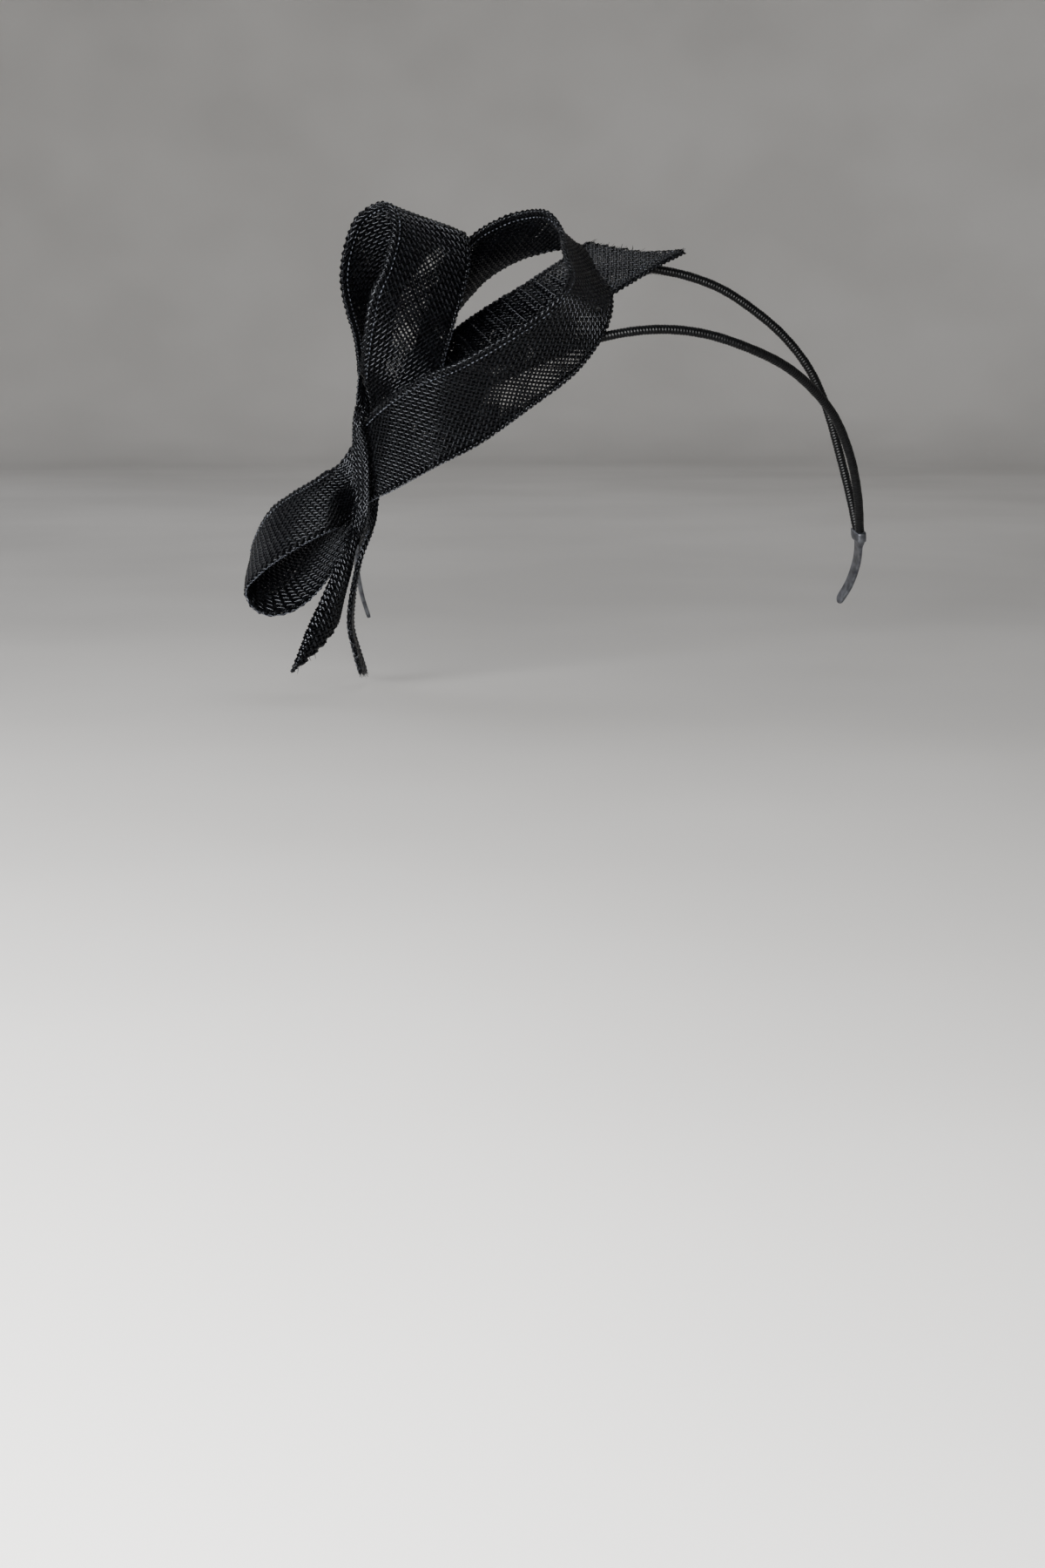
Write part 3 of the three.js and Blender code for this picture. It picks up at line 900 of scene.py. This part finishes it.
    def packing(self, p: np.ndarray, q: np.ndarray) -> np.ndarray:
        """How much wider or thinner the threads are at a flat point.

        They widen within a row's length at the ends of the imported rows, and thin round each
        spot as a bell of its reach does.

        Args:
            p: lengths along the strip.
            q: places across it.

        Returns:
            What a thread's width is multiplied by.
        """
        s = self.row_at(self.middle_at(p, q))
        low, high = self.dense_rows
        wider = 1 + self.dense * np.clip(s - low + 0.5, 0, 1) * np.clip(high - s + 0.5, 0, 1)
        light = np.zeros(p.shape)
        for row, place, reach in self.spots:
            q_spot = place * self.cut_width
            p_spot = self.along_at(np.interp(row, self.knots, self.measure), q_spot)
            far = ((p - p_spot) ** 2 + (q - q_spot) ** 2) / reach ** 2
            light = np.maximum(light, np.exp(-far ** 2))
        return wider * (1 - THINNED * light)

    def lattice(
        self,
        strands: Strands,
        place: Callable[[np.ndarray, np.ndarray], np.ndarray],
        inside: Callable[[np.ndarray, np.ndarray], np.ndarray],
        across: tuple[float, float],
        weave: Weave,
        shift: tuple[float, float],
        turn: float,
        flip: float,
    ) -> None:
        """Weaves one layer: two sets of threads, each at about 45 degrees to the length.

        With c and s the cosine and sine of that angle, a crossing has the lengths
        a = p c + q s and b = p s - q c, both whole numbers of pitches. A thread of the
        first set rises at a crossing whose two numbers add up to an even one and dips at
        the others, and a thread of the other set does the opposite. Its width follows the
        room between its neighbours, which is the area of a cell divided by the cell's
        length along the thread.

        Args:
            strands: where the threads are gathered.
            place: turns p and q into points.
            inside: tells which p and q belong to the cloth.
            across: lowest and highest q.
            weave: the sizes of the weave.
            shift: how far the layer is moved in each direction, as shares of the pitch.
            turn: degrees added to the 45 of its threads.
            flip: 1, or -1 where the place function turns the layer inside out.
        """
        rng = np.random.default_rng(self.seed + int(1000 * shift[0]))
        c, s = math.cos(math.radians(45 + turn)), math.sin(math.radians(45 + turn))
        p0, p1 = -END_ROOM, self.length + END_ROOM
        q0, q1 = across
        low_a, high_a = p0 * c + q0 * s, p1 * c + q1 * s
        low_b, high_b = p0 * s - q1 * c, p1 * s - q0 * c
        i = np.arange(math.floor(low_a / weave.pitch) - 1, math.ceil(high_a / weave.pitch) + 2)
        j = np.arange(math.floor(low_b / weave.pitch) - 1, math.ceil(high_b / weave.pitch) + 2)
        a = (i + shift[0]) * weave.pitch + weave.uneven * rng.standard_normal(len(i))
        b = (j + shift[1]) * weave.pitch + weave.uneven * rng.standard_normal(len(j))
        wide_a = weave.wide * (1 + weave.varied * rng.standard_normal(len(j)))
        wide_b = weave.wide * (1 + weave.varied * rng.standard_normal(len(i)))
        tone_a, tone_b = rng.random(len(j)), rng.random(len(i))
        aa, bb = np.meshgrid(a, b, indexing="ij")
        p, q = aa * c + bb * s, aa * s - bb * c
        keep = inside(p, q)
        p_in, q_in = p[keep], q[keep]
        here = place(p_in, q_in)
        step = 0.12  # how far to each side a crossing's directions are measured, mm
        dp, dq = step * c, step * s
        along_a = (place(p_in + dp, q_in + dq) - place(p_in - dp, q_in - dq)) / (2 * step)
        along_b = (place(p_in + dq, q_in - dp) - place(p_in - dq, q_in + dp)) / (2 * step)
        cell = np.cross(along_b, along_a) * flip
        normal = unit(cell)
        area = np.linalg.norm(cell, axis=-1)
        packed = self.packing(p_in, q_in)
        even = np.where((i[:, None] + j[None, :]) % 2 == 0, 1.0, -1.0)[keep]

        def whole(values: np.ndarray) -> np.ndarray:
            """Puts values of the kept crossings back on the whole lattice.

            Args:
                values: one row for each crossing that is kept.

            Returns:
                The lattice of them, with nothing at the other crossings.
            """
            grid = np.zeros(keep.shape + values.shape[1:])
            grid[keep] = values
            return grid

        sets = (
            (along_a, wide_a[None, :], tone_a[None, :], 1.0),
            (along_b, wide_b[:, None], tone_b[:, None], -1.0),
        )
        tightest, widest = 0.15, 1.15  # room left to a thread, as a share of the flat cloth's
        flattest = 0.45  # share of its thickness and of its wave that a crowded thread keeps
        for along, widths, tones, sign in sets:
            size = np.maximum(np.linalg.norm(along, axis=-1), 1e-9)
            way = along / size[:, None]
            room = np.clip(area / size, tightest, widest)
            half = 0.5 * room * packed * np.broadcast_to(widths, keep.shape)[keep]
            side = np.cross(normal, way) * half[:, None]
            crowd = np.clip(room, flattest, 1)
            rise = normal * (0.5 * weave.thick * crowd)[:, None]
            middle = here + normal * (sign * even * weave.wave * crowd)[:, None]
            tone = np.broadcast_to(tones, keep.shape)
            grids = [whole(middle), whole(side), whole(rise)]
            if sign > 0:  # threads of the first set run along i, so the lattice is turned
                grids = [np.swapaxes(g, 0, 1) for g in grids]
                strands.add(*grids, tone.T, keep.T)
            else:
                strands.add(*grids, tone, keep)

    def layer(self, which: Layer, material: bpy.types.Material) -> bpy.types.Object:
        """Weaves one of the ribbon's two layers as a piece, pressed together at the hems.

        Args:
            which: the layer.
            material: the finish of the weave.

        Returns:
            The piece.
        """
        inset, short = 0.35, 0.1  # of the raw cloth from the edges and from the cut, mm
        half = self.cut_width / 2 - inset
        strands = Strands()

        def place(p: np.ndarray, q: np.ndarray) -> np.ndarray:
            """The layer's point, half as far from the middle under a hem.

            Args:
                p: lengths along the strip.
                q: places across it.

            Returns:
                Points, in millimetres.
            """
            low = self.cut_width / 2 + q - self.trailing.reach
            high = self.cut_width / 2 - q - self.leading.reach
            free = np.clip(np.minimum(low, high) + 0.5, 0, 1)
            return self.surface(p, q, which.value * self.apart * (0.5 + 0.5 * free))

        def inside(p: np.ndarray, q: np.ndarray) -> np.ndarray:
            """The strip between its raw edges and its ends."""
            m = self.middle_at(p, q)
            return (np.abs(q) <= half) & (m >= 0) & (m <= self.end_at(q) - short)

        outer = which is Layer.OUTER
        self.lattice(
            strands, place, inside, (-half, half), self.weave,
            (0.0, 0.0) if outer else self.shift, 0.0 if outer else self.turn, 1.0)
        return strands.piece(f"{self.name}_weave_{which.name.lower()}", material, "woven_ribbon")

    def hems(self, material: bpy.types.Material) -> bpy.types.Object:
        """Weaves both folded hems as one piece, of threads a little flatter than the rest.

        Args:
            material: the finish of the weave.

        Returns:
            The piece.
        """
        strands = Strands()
        for edge in Edge:
            hem = self.hem(edge)
            around = 2 * hem.reach + math.pi * hem.fold

            def place(p: np.ndarray, f: np.ndarray, edge: Edge = edge) -> np.ndarray:
                """A point of this edge's hem."""
                return self.folded(p, f, edge)

            def inside(
                p: np.ndarray, f: np.ndarray, edge: Edge = edge, around: float = around
            ) -> np.ndarray:
                """The hem between its raw edges, wherever it shows.

                Args:
                    p: lengths along the strip.
                    f: lengths round the fold.
                    edge: this hem's edge.
                    around: the whole length round its fold.

                Returns:
                    Whether each place belongs to the hem.
                """
                q, _ = self.across_fold(f, edge)
                m = self.middle_at(p, q)
                shown = self.share_at(m) >= self.hem_least
                return (f >= 0) & (f <= around) & (m >= 0) & (m <= self.end_at(q)) & shown

            self.lattice(
                strands, place, inside, (0, around), hem.weave,
                (0.21, 0.67) if edge is Edge.LEADING else (0.67, 0.21), 0.0, 2 * edge.value)
        return strands.piece(f"{self.name}_hems", material, "woven_ribbon")

    def stitches(self, material: bpy.types.Material) -> bpy.types.Object | None:
        """Sews the hems down on both faces, and loops the selvedge, where there are any.

        Args:
            material: the finish of the sewing thread.

        Returns:
            The piece, or None for a ribbon without either.
        """
        strands = Strands()
        for edge in Edge:
            if self.hem(edge).loops:
                self.loops(strands, edge)
            elif self.hem(edge).stitched:
                self.running_stitch(strands, edge)
        if not strands.count:
            return None
        return strands.piece(f"{self.name}_stitches", material, "woven_ribbon")

    def running_stitch(self, strands: Strands, edge: Edge) -> None:
        """Adds one hem's stitches, on the outer and the inner face.

        A stitch is a short thread that rises by half a sine and thins towards its ends.

        Args:
            strands: where the threads are gathered.
            edge: which edge of the strip.
        """
        hem = self.hem(edge)
        rng = np.random.default_rng(self.seed + 3)
        long, gap, thick = 0.95, 0.50, 0.40  # of a stitch, mm
        lifted, arched = 0.16, 0.16  # height of its ends over the hem, and its rise, mm
        bare_start, bare_end = 0.5, 0.8  # lengths without stitches, mm
        profile = np.array([0.45, 0.95, 1.0, 0.95, 0.45])  # its thickness along it, as a share
        share = np.linspace(0, 1, len(profile))
        inset = 0.45  # of the stitches from the hem's raw edge, mm
        q = edge.value * self.cut_width - math.copysign(hem.reach - inset, edge.value)
        starts = np.arange(-END_ROOM, self.length + END_ROOM, long + gap)
        p = starts[:, None] + share[None, :] * long
        across = np.full_like(p, q)
        m = self.middle_at(p, across)
        shown = (m > bare_start) & (m < self.end_at(across) - bare_end)
        shown = shown & (self.share_at(m) >= self.hem_least)
        p, across = p[shown.all(1)], across[shown.all(1)]
        for face in Layer:
            rise = face.value * (hem.fold + lifted + arched * np.sin(np.pi * share))[None, :]
            middle = self.surface(p, across, rise)
            up = unit(self.surface(p, across, rise + face.value) - middle)
            side = np.cross(up, unit(np.gradient(middle, axis=1)))
            size = (0.5 * thick * profile)[None, :, None]
            tone = np.broadcast_to(rng.random((len(p), 1)), p.shape)
            strands.add(middle, side * size, up * size, tone)

    def loops(self, strands: Strands, edge: Edge) -> None:
        """Adds the looped thread of one selvedge.

        The thread swings out and in as a cosine of p, and up and down as its sine.

        Args:
            strands: where the threads are gathered.
            edge: which edge of the strip.
        """
        reach = self.hem(edge).loops
        pitch, thick = 1.2, 0.26  # spacing of the loops and thickness of their thread, mm
        sunk, lifted = 0.1, 0.16  # depth of their roots in the edge, and half their rise, mm
        bare, tone, steps = 0.5, 0.7, 8  # length without loops, tone, and rings to a loop
        count = int((self.length + 2 * END_ROOM) / pitch * steps)
        p = (np.arange(count) * pitch / steps - END_ROOM)[None, :]
        swing = 2 * np.pi * p / pitch
        q = 2 * edge.value * (self.cut_width / 2 + 0.5 * reach * (1 - np.cos(swing)) - sunk)
        m = self.middle_at(p, q)
        edge_q = np.full_like(q, edge.value * self.cut_width)
        shown = (m > bare) & (m < self.end_at(edge_q) - bare)
        shown = shown & (self.share_at(m) >= self.hem_least)
        lift = lifted * np.sin(swing)
        middle = self.surface(p, q, lift)
        run = unit(np.gradient(middle, axis=1))
        up = unit(self.surface(p, q, lift + 1.0) - middle)
        up = unit(up - run * (up * run).sum(-1, keepdims=True))
        side = np.cross(up, run)
        strands.add(middle, side * thick / 2, up * thick / 2, np.full(p.shape, tone), shown)

    def fray(self, material: bpy.types.Material) -> bpy.types.Object | None:
        """Loose fibres at the cut end, and threads that have come loose from an edge.

        A fibre starts inside the cloth, slants to one side, and leaves the surface with the
        square of its length, by an amount of its own.

        Args:
            material: the finish of the weave.

        Returns:
            The piece, or None for a ribbon with no end of its own.
        """
        if not self.frayed:
            return None
        fibre = self.fibre
        rng = np.random.default_rng(self.seed + 7)
        count = self.frayed + len(self.loose_rows)
        at_edge = np.arange(count)[:, None] >= self.frayed
        widest = 0.49  # share of the width to each side within which fibres start
        q = rng.uniform(-widest, widest, count)[:, None] * self.cut_width
        way = rng.choice([-1.0, 1.0], count)[:, None]
        long = rng.uniform(*fibre.long, count)[:, None]
        q = np.where(at_edge, Edge.TRAILING.value * self.cut_width, q)
        way = np.where(at_edge, -1.0, way)
        long = np.where(at_edge, fibre.from_edge, long)
        m = self.end_at(q) - fibre.rooted
        m[self.frayed:, 0] = np.interp(self.loose_rows, self.knots, self.measure)
        start = self.along_at(m, q)
        rings = 7
        share = np.linspace(0, 1, rings)[None, :]
        base = self.surface(start, q, 0.0)
        near = 0.5  # how far to each side the cloth's directions are measured, mm
        run = unit(self.surface(start + near, q, 0.0) - self.surface(start - near, q, 0.0))
        over = unit(self.surface(start, q + near, 0.0) - self.surface(start, q - near, 0.0))
        up = np.cross(run, over)
        splay = rng.uniform(*fibre.splay, count)[:, None, None]
        heading = unit(run + way[..., None] * over * splay)
        curl = rng.uniform(-fibre.curl, fibre.curl, count)[:, None]
        drop = rng.uniform(-fibre.drop, fibre.drop, count)[:, None]
        middle = (
            base
            + heading * (long * share)[..., None]
            + up * (curl * long * share ** 2)[..., None]
            + over * (drop * long * share ** 2)[..., None]
        )
        thick = rng.uniform(*fibre.thick, count)[:, None] * (1 - fibre.thinning * share)
        direction = unit(np.gradient(middle, axis=1))
        rise = unit(up - direction * (up * direction).sum(-1, keepdims=True))
        side = np.cross(rise, direction)
        half = (0.5 * thick)[..., None]
        strands = Strands()
        tone = np.broadcast_to(rng.random((count, 1)), thick.shape)
        strands.add(middle, side * half, rise * half, tone)
        return strands.piece(f"{self.name}_fray", material, "woven_ribbon")

    def build(
        self, cloth: bpy.types.Material, thread: bpy.types.Material
    ) -> list[bpy.types.Object]:
        """Makes the ribbon's pieces and logs the size of its cut cloth.

        Args:
            cloth: the finish of the weave.
            thread: the finish of the stitches.

        Returns:
            The pieces, the outer layer first.
        """
        outer = self.layer(Layer.OUTER, cloth)
        inner = self.layer(Layer.INNER, cloth)
        extras = [self.hems(cloth), self.stitches(thread), self.fray(cloth)]
        others = [piece for piece in extras if piece]
        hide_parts(self.node_name)
        LOG.info("%s: cut %.1f by %.1f mm, twice", self.name, self.cut_width, self.length)
        return [outer, inner, *others]


# ------------------------------------------------------------------ bands and their ends
@dataclass
class WrappedBand:
    """A wire of the headband, wound close with thread.

    Its surface is a tube whose radius dips between the turns of the thread: the dip is a
    cosine of the length along the wire less the angle round it, so the ridges run as a
    screw thread does.
    """

    name: str
    node_name: str
    rows: np.ndarray
    facing: tuple[float, float, float]  # a way that the wire never runs along
    thick: float = 3.0
    turn: float = 0.95  # spacing of the turns, drawn about twice the real thread's
    groove: float = 0.16
    sides: int = 14
    rings_per_turn: int = 5
    tucked: float = 2.2  # how far each end runs on into its collar
    seed: int = 3

    def build(self, material: bpy.types.Material) -> bpy.types.Object:
        """Makes the band as one piece that replaces the plain wire.

        Args:
            material: the finish of the wound thread.

        Returns:
            The piece.
        """
        start = self.rows[:1] + unit(self.rows[:1] - self.rows[1:2]) * self.tucked
        end = self.rows[-1:] + unit(self.rows[-1:] - self.rows[-2:-1]) * self.tucked
        points, run = even_path(
            np.vstack([start, self.rows, end]), self.turn / self.rings_per_turn)
        count = len(points)
        length = np.arange(count)[:, None] * (self.turn / self.rings_per_turn)
        facing = np.array(self.facing)
        first = unit(facing - run * (run @ facing)[:, None])
        second = np.cross(run, first)
        angle = np.linspace(0, 2 * np.pi, self.sides, endpoint=False)[None, :]
        dip = 0.5 - 0.5 * np.cos(2 * np.pi * length / self.turn - angle)
        # a hand never winds with quite the same pull: heights in mm, and radians a mm
        slack = 0.05 * np.sin(0.9 * length + 1.3) + 0.04 * np.sin(2.3 * length)
        radius = self.thick / 2 - self.groove * dip + 0.5 * slack
        ring = (
            points[:, None]
            + first[:, None] * (radius * np.cos(angle))[..., None]
            + second[:, None] * (radius * np.sin(angle))[..., None]
        )
        rng = np.random.default_rng(self.seed)
        turns = rng.random(int(length[-1, 0] / self.turn) + 3)
        tone = turns[np.floor(length / self.turn - angle / (2 * np.pi) + 1).astype(int)]
        piece = make_piece(
            self.name, ring.reshape(-1, 3), tube_faces(count, self.sides), tone.ravel(),
            material)
        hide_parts(self.node_name)
        LOG.info("%s: %.0f mm long", self.name, float(length[-1, 0]))
        return piece


@dataclass
class BandTongue:
    """The flat steel end of a pair of bands: a crimped collar that thins to a tongue.

    Its section is a superellipse with the row's width and thickness, and its tip closes
    with the square root that rounds a half circle off.
    """

    name: str
    node_name: str
    rows: np.ndarray
    sides: int = 20
    steps_per_row: int = 10
    squareness: float = 5.0
    tip: float = 0.35  # how much of the last row the round tip takes
    tip_rings: int = 14
    bevel: float = 0.12  # how much of the first row the collar's bevelled mouth takes
    tone: float = 0.5

    def build(self, material: bpy.types.Material) -> bpy.types.Object:
        """Makes the tongue as one piece that replaces the plain one.

        Args:
            material: the finish of the bare metal.

        Returns:
            The piece.
        """
        last = len(self.rows) - 1
        s = np.linspace(0, last, last * self.steps_per_row + 1)
        s = np.concatenate([s, last - self.tip * np.linspace(1, 0, self.tip_rings)[:-1] ** 2])
        s = np.unique(np.round(s, 5))
        row = catmull_rom(self.rows, s)
        run = unit(np.gradient(row[:, :3], axis=0))
        across = unit(row[:, 3:6])
        across = unit(across - run * (across * run).sum(-1, keepdims=True))
        out = np.cross(run, across)
        angle = np.linspace(0, 2 * np.pi, self.sides, endpoint=False)
        power = 2 / self.squareness
        flat = np.sign(np.cos(angle)) * np.abs(np.cos(angle)) ** power
        deep = np.sign(np.sin(angle)) * np.abs(np.sin(angle)) ** power
        near_tip = np.clip((s - (last - self.tip)) / self.tip, 0, 0.995)  # not quite a point
        near_root = np.clip(1 - s / self.bevel, 0, 0.8)  # bevelled down to six tenths
        close = np.sqrt(1 - near_tip ** 2) * np.sqrt(1 - near_root ** 2)
        ring = (
            row[:, None, :3]
            + across[:, None] * (0.5 * row[:, 6] * close)[:, None, None] * flat[None, :, None]
            + out[:, None] * (0.5 * row[:, 7] * close ** 0.5)[:, None, None] * deep[None, :, None]
        )
        points = ring.reshape(-1, 3)
        piece = make_piece(
            self.name, points, tube_faces(len(s), self.sides), np.full(len(points), self.tone),
            material)
        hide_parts(self.node_name)
        return piece


# ------------------------------------------------------------------ studio
@dataclass
class Studio:
    """The floor, the lamps and the camera, in metres."""

    camera_at: tuple[float, float, float] = (-0.2026, -0.7065, -0.0270)
    heading: tuple[float, float] = (0.2350, 0.9720)  # way the camera looks, seen from above
    pitch_down: float = 11.3
    lens: float = 50.0
    floor_gap: float = 0.0015  # room between the lowest thread and the floor
    flat_radius: float = 1.3
    wall_radius: float = 2.2
    wall_height: float = 2.4

    def floor(self, lowest: float) -> bpy.types.Object:
        """A round pale floor that sweeps up into a wall.

        The profile is flat to one radius and then a quarter ellipse up to the wall, turned
        round the vertical axis.

        Args:
            lowest: the lowest point of the object.

        Returns:
            The floor, marked as stage.
        """
        level = [0.02, 0.4, 0.9]  # radii of the rings on the flat part
        sides, steps = 96, 25  # points of a ring, and rings of the sweep
        turn = np.linspace(0, np.pi / 2, steps)
        sweep = self.wall_radius - self.flat_radius
        radius = np.concatenate([level, self.flat_radius + sweep * np.sin(turn)])
        height = np.concatenate([np.zeros(len(level)), self.wall_height * (1 - np.cos(turn))])
        angle = np.linspace(0, 2 * np.pi, sides, endpoint=False)
        base = lowest - self.floor_gap
        grid = np.stack([
            radius[:, None] * np.cos(angle), radius[:, None] * np.sin(angle),
            np.broadcast_to((base + height)[:, None], (len(radius), sides))], -1)
        i = np.arange(len(radius) - 1)[:, None] * sides
        k = np.arange(sides)[None, :]
        after = (k + 1) % sides
        faces = np.stack([i + k, i + sides + k, i + sides + after, i + after], -1).reshape(-1, 4)
        mesh = bpy.data.meshes.new("floor")
        mesh.from_pydata(grid.reshape(-1, 3).tolist(), [], faces.tolist() + [list(range(sides))])
        mesh.polygons.foreach_set("use_smooth", np.ones(len(mesh.polygons), dtype=bool))
        mesh.materials.append(MattePaint().build())
        made = put("floor", mesh)
        made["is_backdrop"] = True
        return made

    def lamp(
        self,
        name: str,
        at: tuple[float, float, float],
        size: tuple[float, float],
        watts: float,
        colour: str,
        towards: tuple[float, float, float] = (-0.03, -0.04, -0.05),
    ) -> None:
        """Adds a flat soft lamp.

        Args:
            name: the lamp's name.
            at: where it stands.
            size: its width and its height.
            watts: its power.
            colour: the hex colour of its light.
            towards: the point that it faces, the middle of the object unless given.
        """
        data = bpy.data.lights.new(name, "AREA")
        data.shape = "RECTANGLE"
        data.size, data.size_y = size
        data.energy = watts
        data.color = linear(colour)[:3]
        made = put(name, data)
        made.location = at
        made.rotation_euler = (Vector(towards) - Vector(at)).to_track_quat("-Z", "Y").to_euler()

    def lamps(self) -> None:
        """A wide low key from the left front, and weak light from the other sides.

        A lamp of its own lights the floor and the wall behind the object, and the air adds
        a little even light.
        """
        self.lamp("key", (-0.45, -0.53, 0.0), (0.7, 0.24), 14.0, "#ffffff")
        self.lamp("fill", (1.0, -0.7, 0.45), (0.9, 0.9), 0.5, "#fbfcff")
        self.lamp("top", (0.05, 0.45, 1.25), (1.0, 1.0), 1.0, "#ffffff")
        self.lamp("rim", (-0.8, 0.85, 0.5), (0.7, 0.7), 2.0, "#f4f7ff")
        self.lamp("backdrop", (0.1, 0.5, 0.9), (0.8, 0.8), 3.6, "#ffffff", (0.4, 1.4, -0.1))
        world = bpy.data.worlds.new("pale_air")
        world.use_nodes = True
        world.node_tree.nodes["Background"].inputs["Color"].default_value = linear("#c9c9cc")
        world.node_tree.nodes["Background"].inputs["Strength"].default_value = 0.09
        bpy.context.scene.world = world

    def camera(self) -> bpy.types.Object:
        """Sets up the camera, level from side to side and pitched down at the bow.

        Returns:
            The camera.
        """
        down = math.radians(self.pitch_down)
        way = Vector((
            self.heading[0] * math.cos(down), self.heading[1] * math.cos(down), -math.sin(down)))
        data = bpy.data.cameras.new("camera")
        data.lens = self.lens
        data.sensor_width = 36.0
        data.clip_start = 0.02
        data.clip_end = 20.0
        made = put("camera", data)
        made.location = self.camera_at
        made.rotation_euler = way.to_track_quat("-Z", "Y").to_euler()
        bpy.context.scene.camera = made
        return made


def ribbons() -> list[Ribbon]:
    """The strips of the bow.

    Returns:
        The two loops and the three tails, each after the piece that it rests on.
    """
    narrow = Hem(reach=2.0, fold=0.45)
    folded_in = Hem(reach=1.2, fold=0.40, weave=Weave(wide=1.0, thick=0.26, wave=0.10, uneven=0.06),
                    stitched=False)
    return [
        Ribbon("bow", "bow_strip", BOW_STRIP, 29.0, 11, "front_band", trailing=SELVEDGE,
               shift=(0.43, 0.26), dense=0.12, dense_rows=(19.0, 31.0),
               spots=((12.7, -0.32, 6.0), (13.4, -0.25, 7.0), (14.2, -0.18, 6.0))),
        Ribbon("upper_loop", "upper_strip", UPPER_STRIP, 29.0, 23, "bow_strip", trailing=SELVEDGE,
               shift=(0.30, 0.60),
               spots=((10.4, 0.03, 6.0), (12.4, -0.32, 4.0), (13.0, -0.02, 5.5), (13.8, 0.1, 4.5))),
        Ribbon("front_tail", "tail_front", TAIL_FRONT, 14.0, 37, "upper_strip", cut=Cut.POINTED,
               leading=folded_in, trailing=folded_in, hem_least=0.0, rucks=3, ruck=0.6,
               dense=0.2, dense_rows=(0.0, 13.0), frayed=14),
        Ribbon("right_tail", "tail_right", TAIL_RIGHT, 29.0, 41, "front_band", cut=Cut.SLANTED,
               leading=SELVEDGE, ripple=0.55, ripple_rows=(2.0, 5.8), frayed=60,
               loose_rows=(6.9, 7.1, 7.2)),
        Ribbon("back_tail", "tail_back", TAIL_BACK, 18.0, 53, "tail_front", leading=narrow,
               trailing=narrow, rucks=3, dense=0.15, dense_rows=(0.0, 7.0), frayed=26),
    ]


def main() -> None:
    """Builds every sub-assembly in order and reports each piece."""
    logging.basicConfig(level=logging.INFO, format="%(name)s: %(message)s")
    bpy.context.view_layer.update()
    studio = Studio()
    studio.camera()
    cloth = LacqueredAbaca().build()
    # The sewing thread's greys are a painted highlight: its colours are set light so that the
    # stitches and the selvedge loops show the light that they catch.
    sewing = LacqueredAbaca(
        name="sewing_thread", deep="#121316", middle="#282a2f", palest="#50535b", roughness=0.32,
        shine=0.5).build()
    wound = WrappedThread().build()
    steel = RolledSteel().build()
    WrappedBand("front_band_wound", "front_band", FRONT_WIRE, (0.0, -0.72, -0.69)).build(wound)
    WrappedBand("rear_band_wound", "rear_band", REAR_WIRE, (0.0, -1.0, 0.0), seed=5).build(wound)
    BandTongue("left_tongue", "band_tongue_left", TONGUE_LEFT).build(steel)
    BandTongue("right_tongue", "band_tongue_right", TONGUE_RIGHT).build(steel)
    for ribbon in ribbons():
        ribbon.build(cloth, sewing)
    low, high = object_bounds()
    studio.floor(low.z)
    studio.lamps()
    LOG.info("box %s to %s", [round(c, 4) for c in low], [round(c, 4) for c in high])


if __name__ == "__main__":
    main()
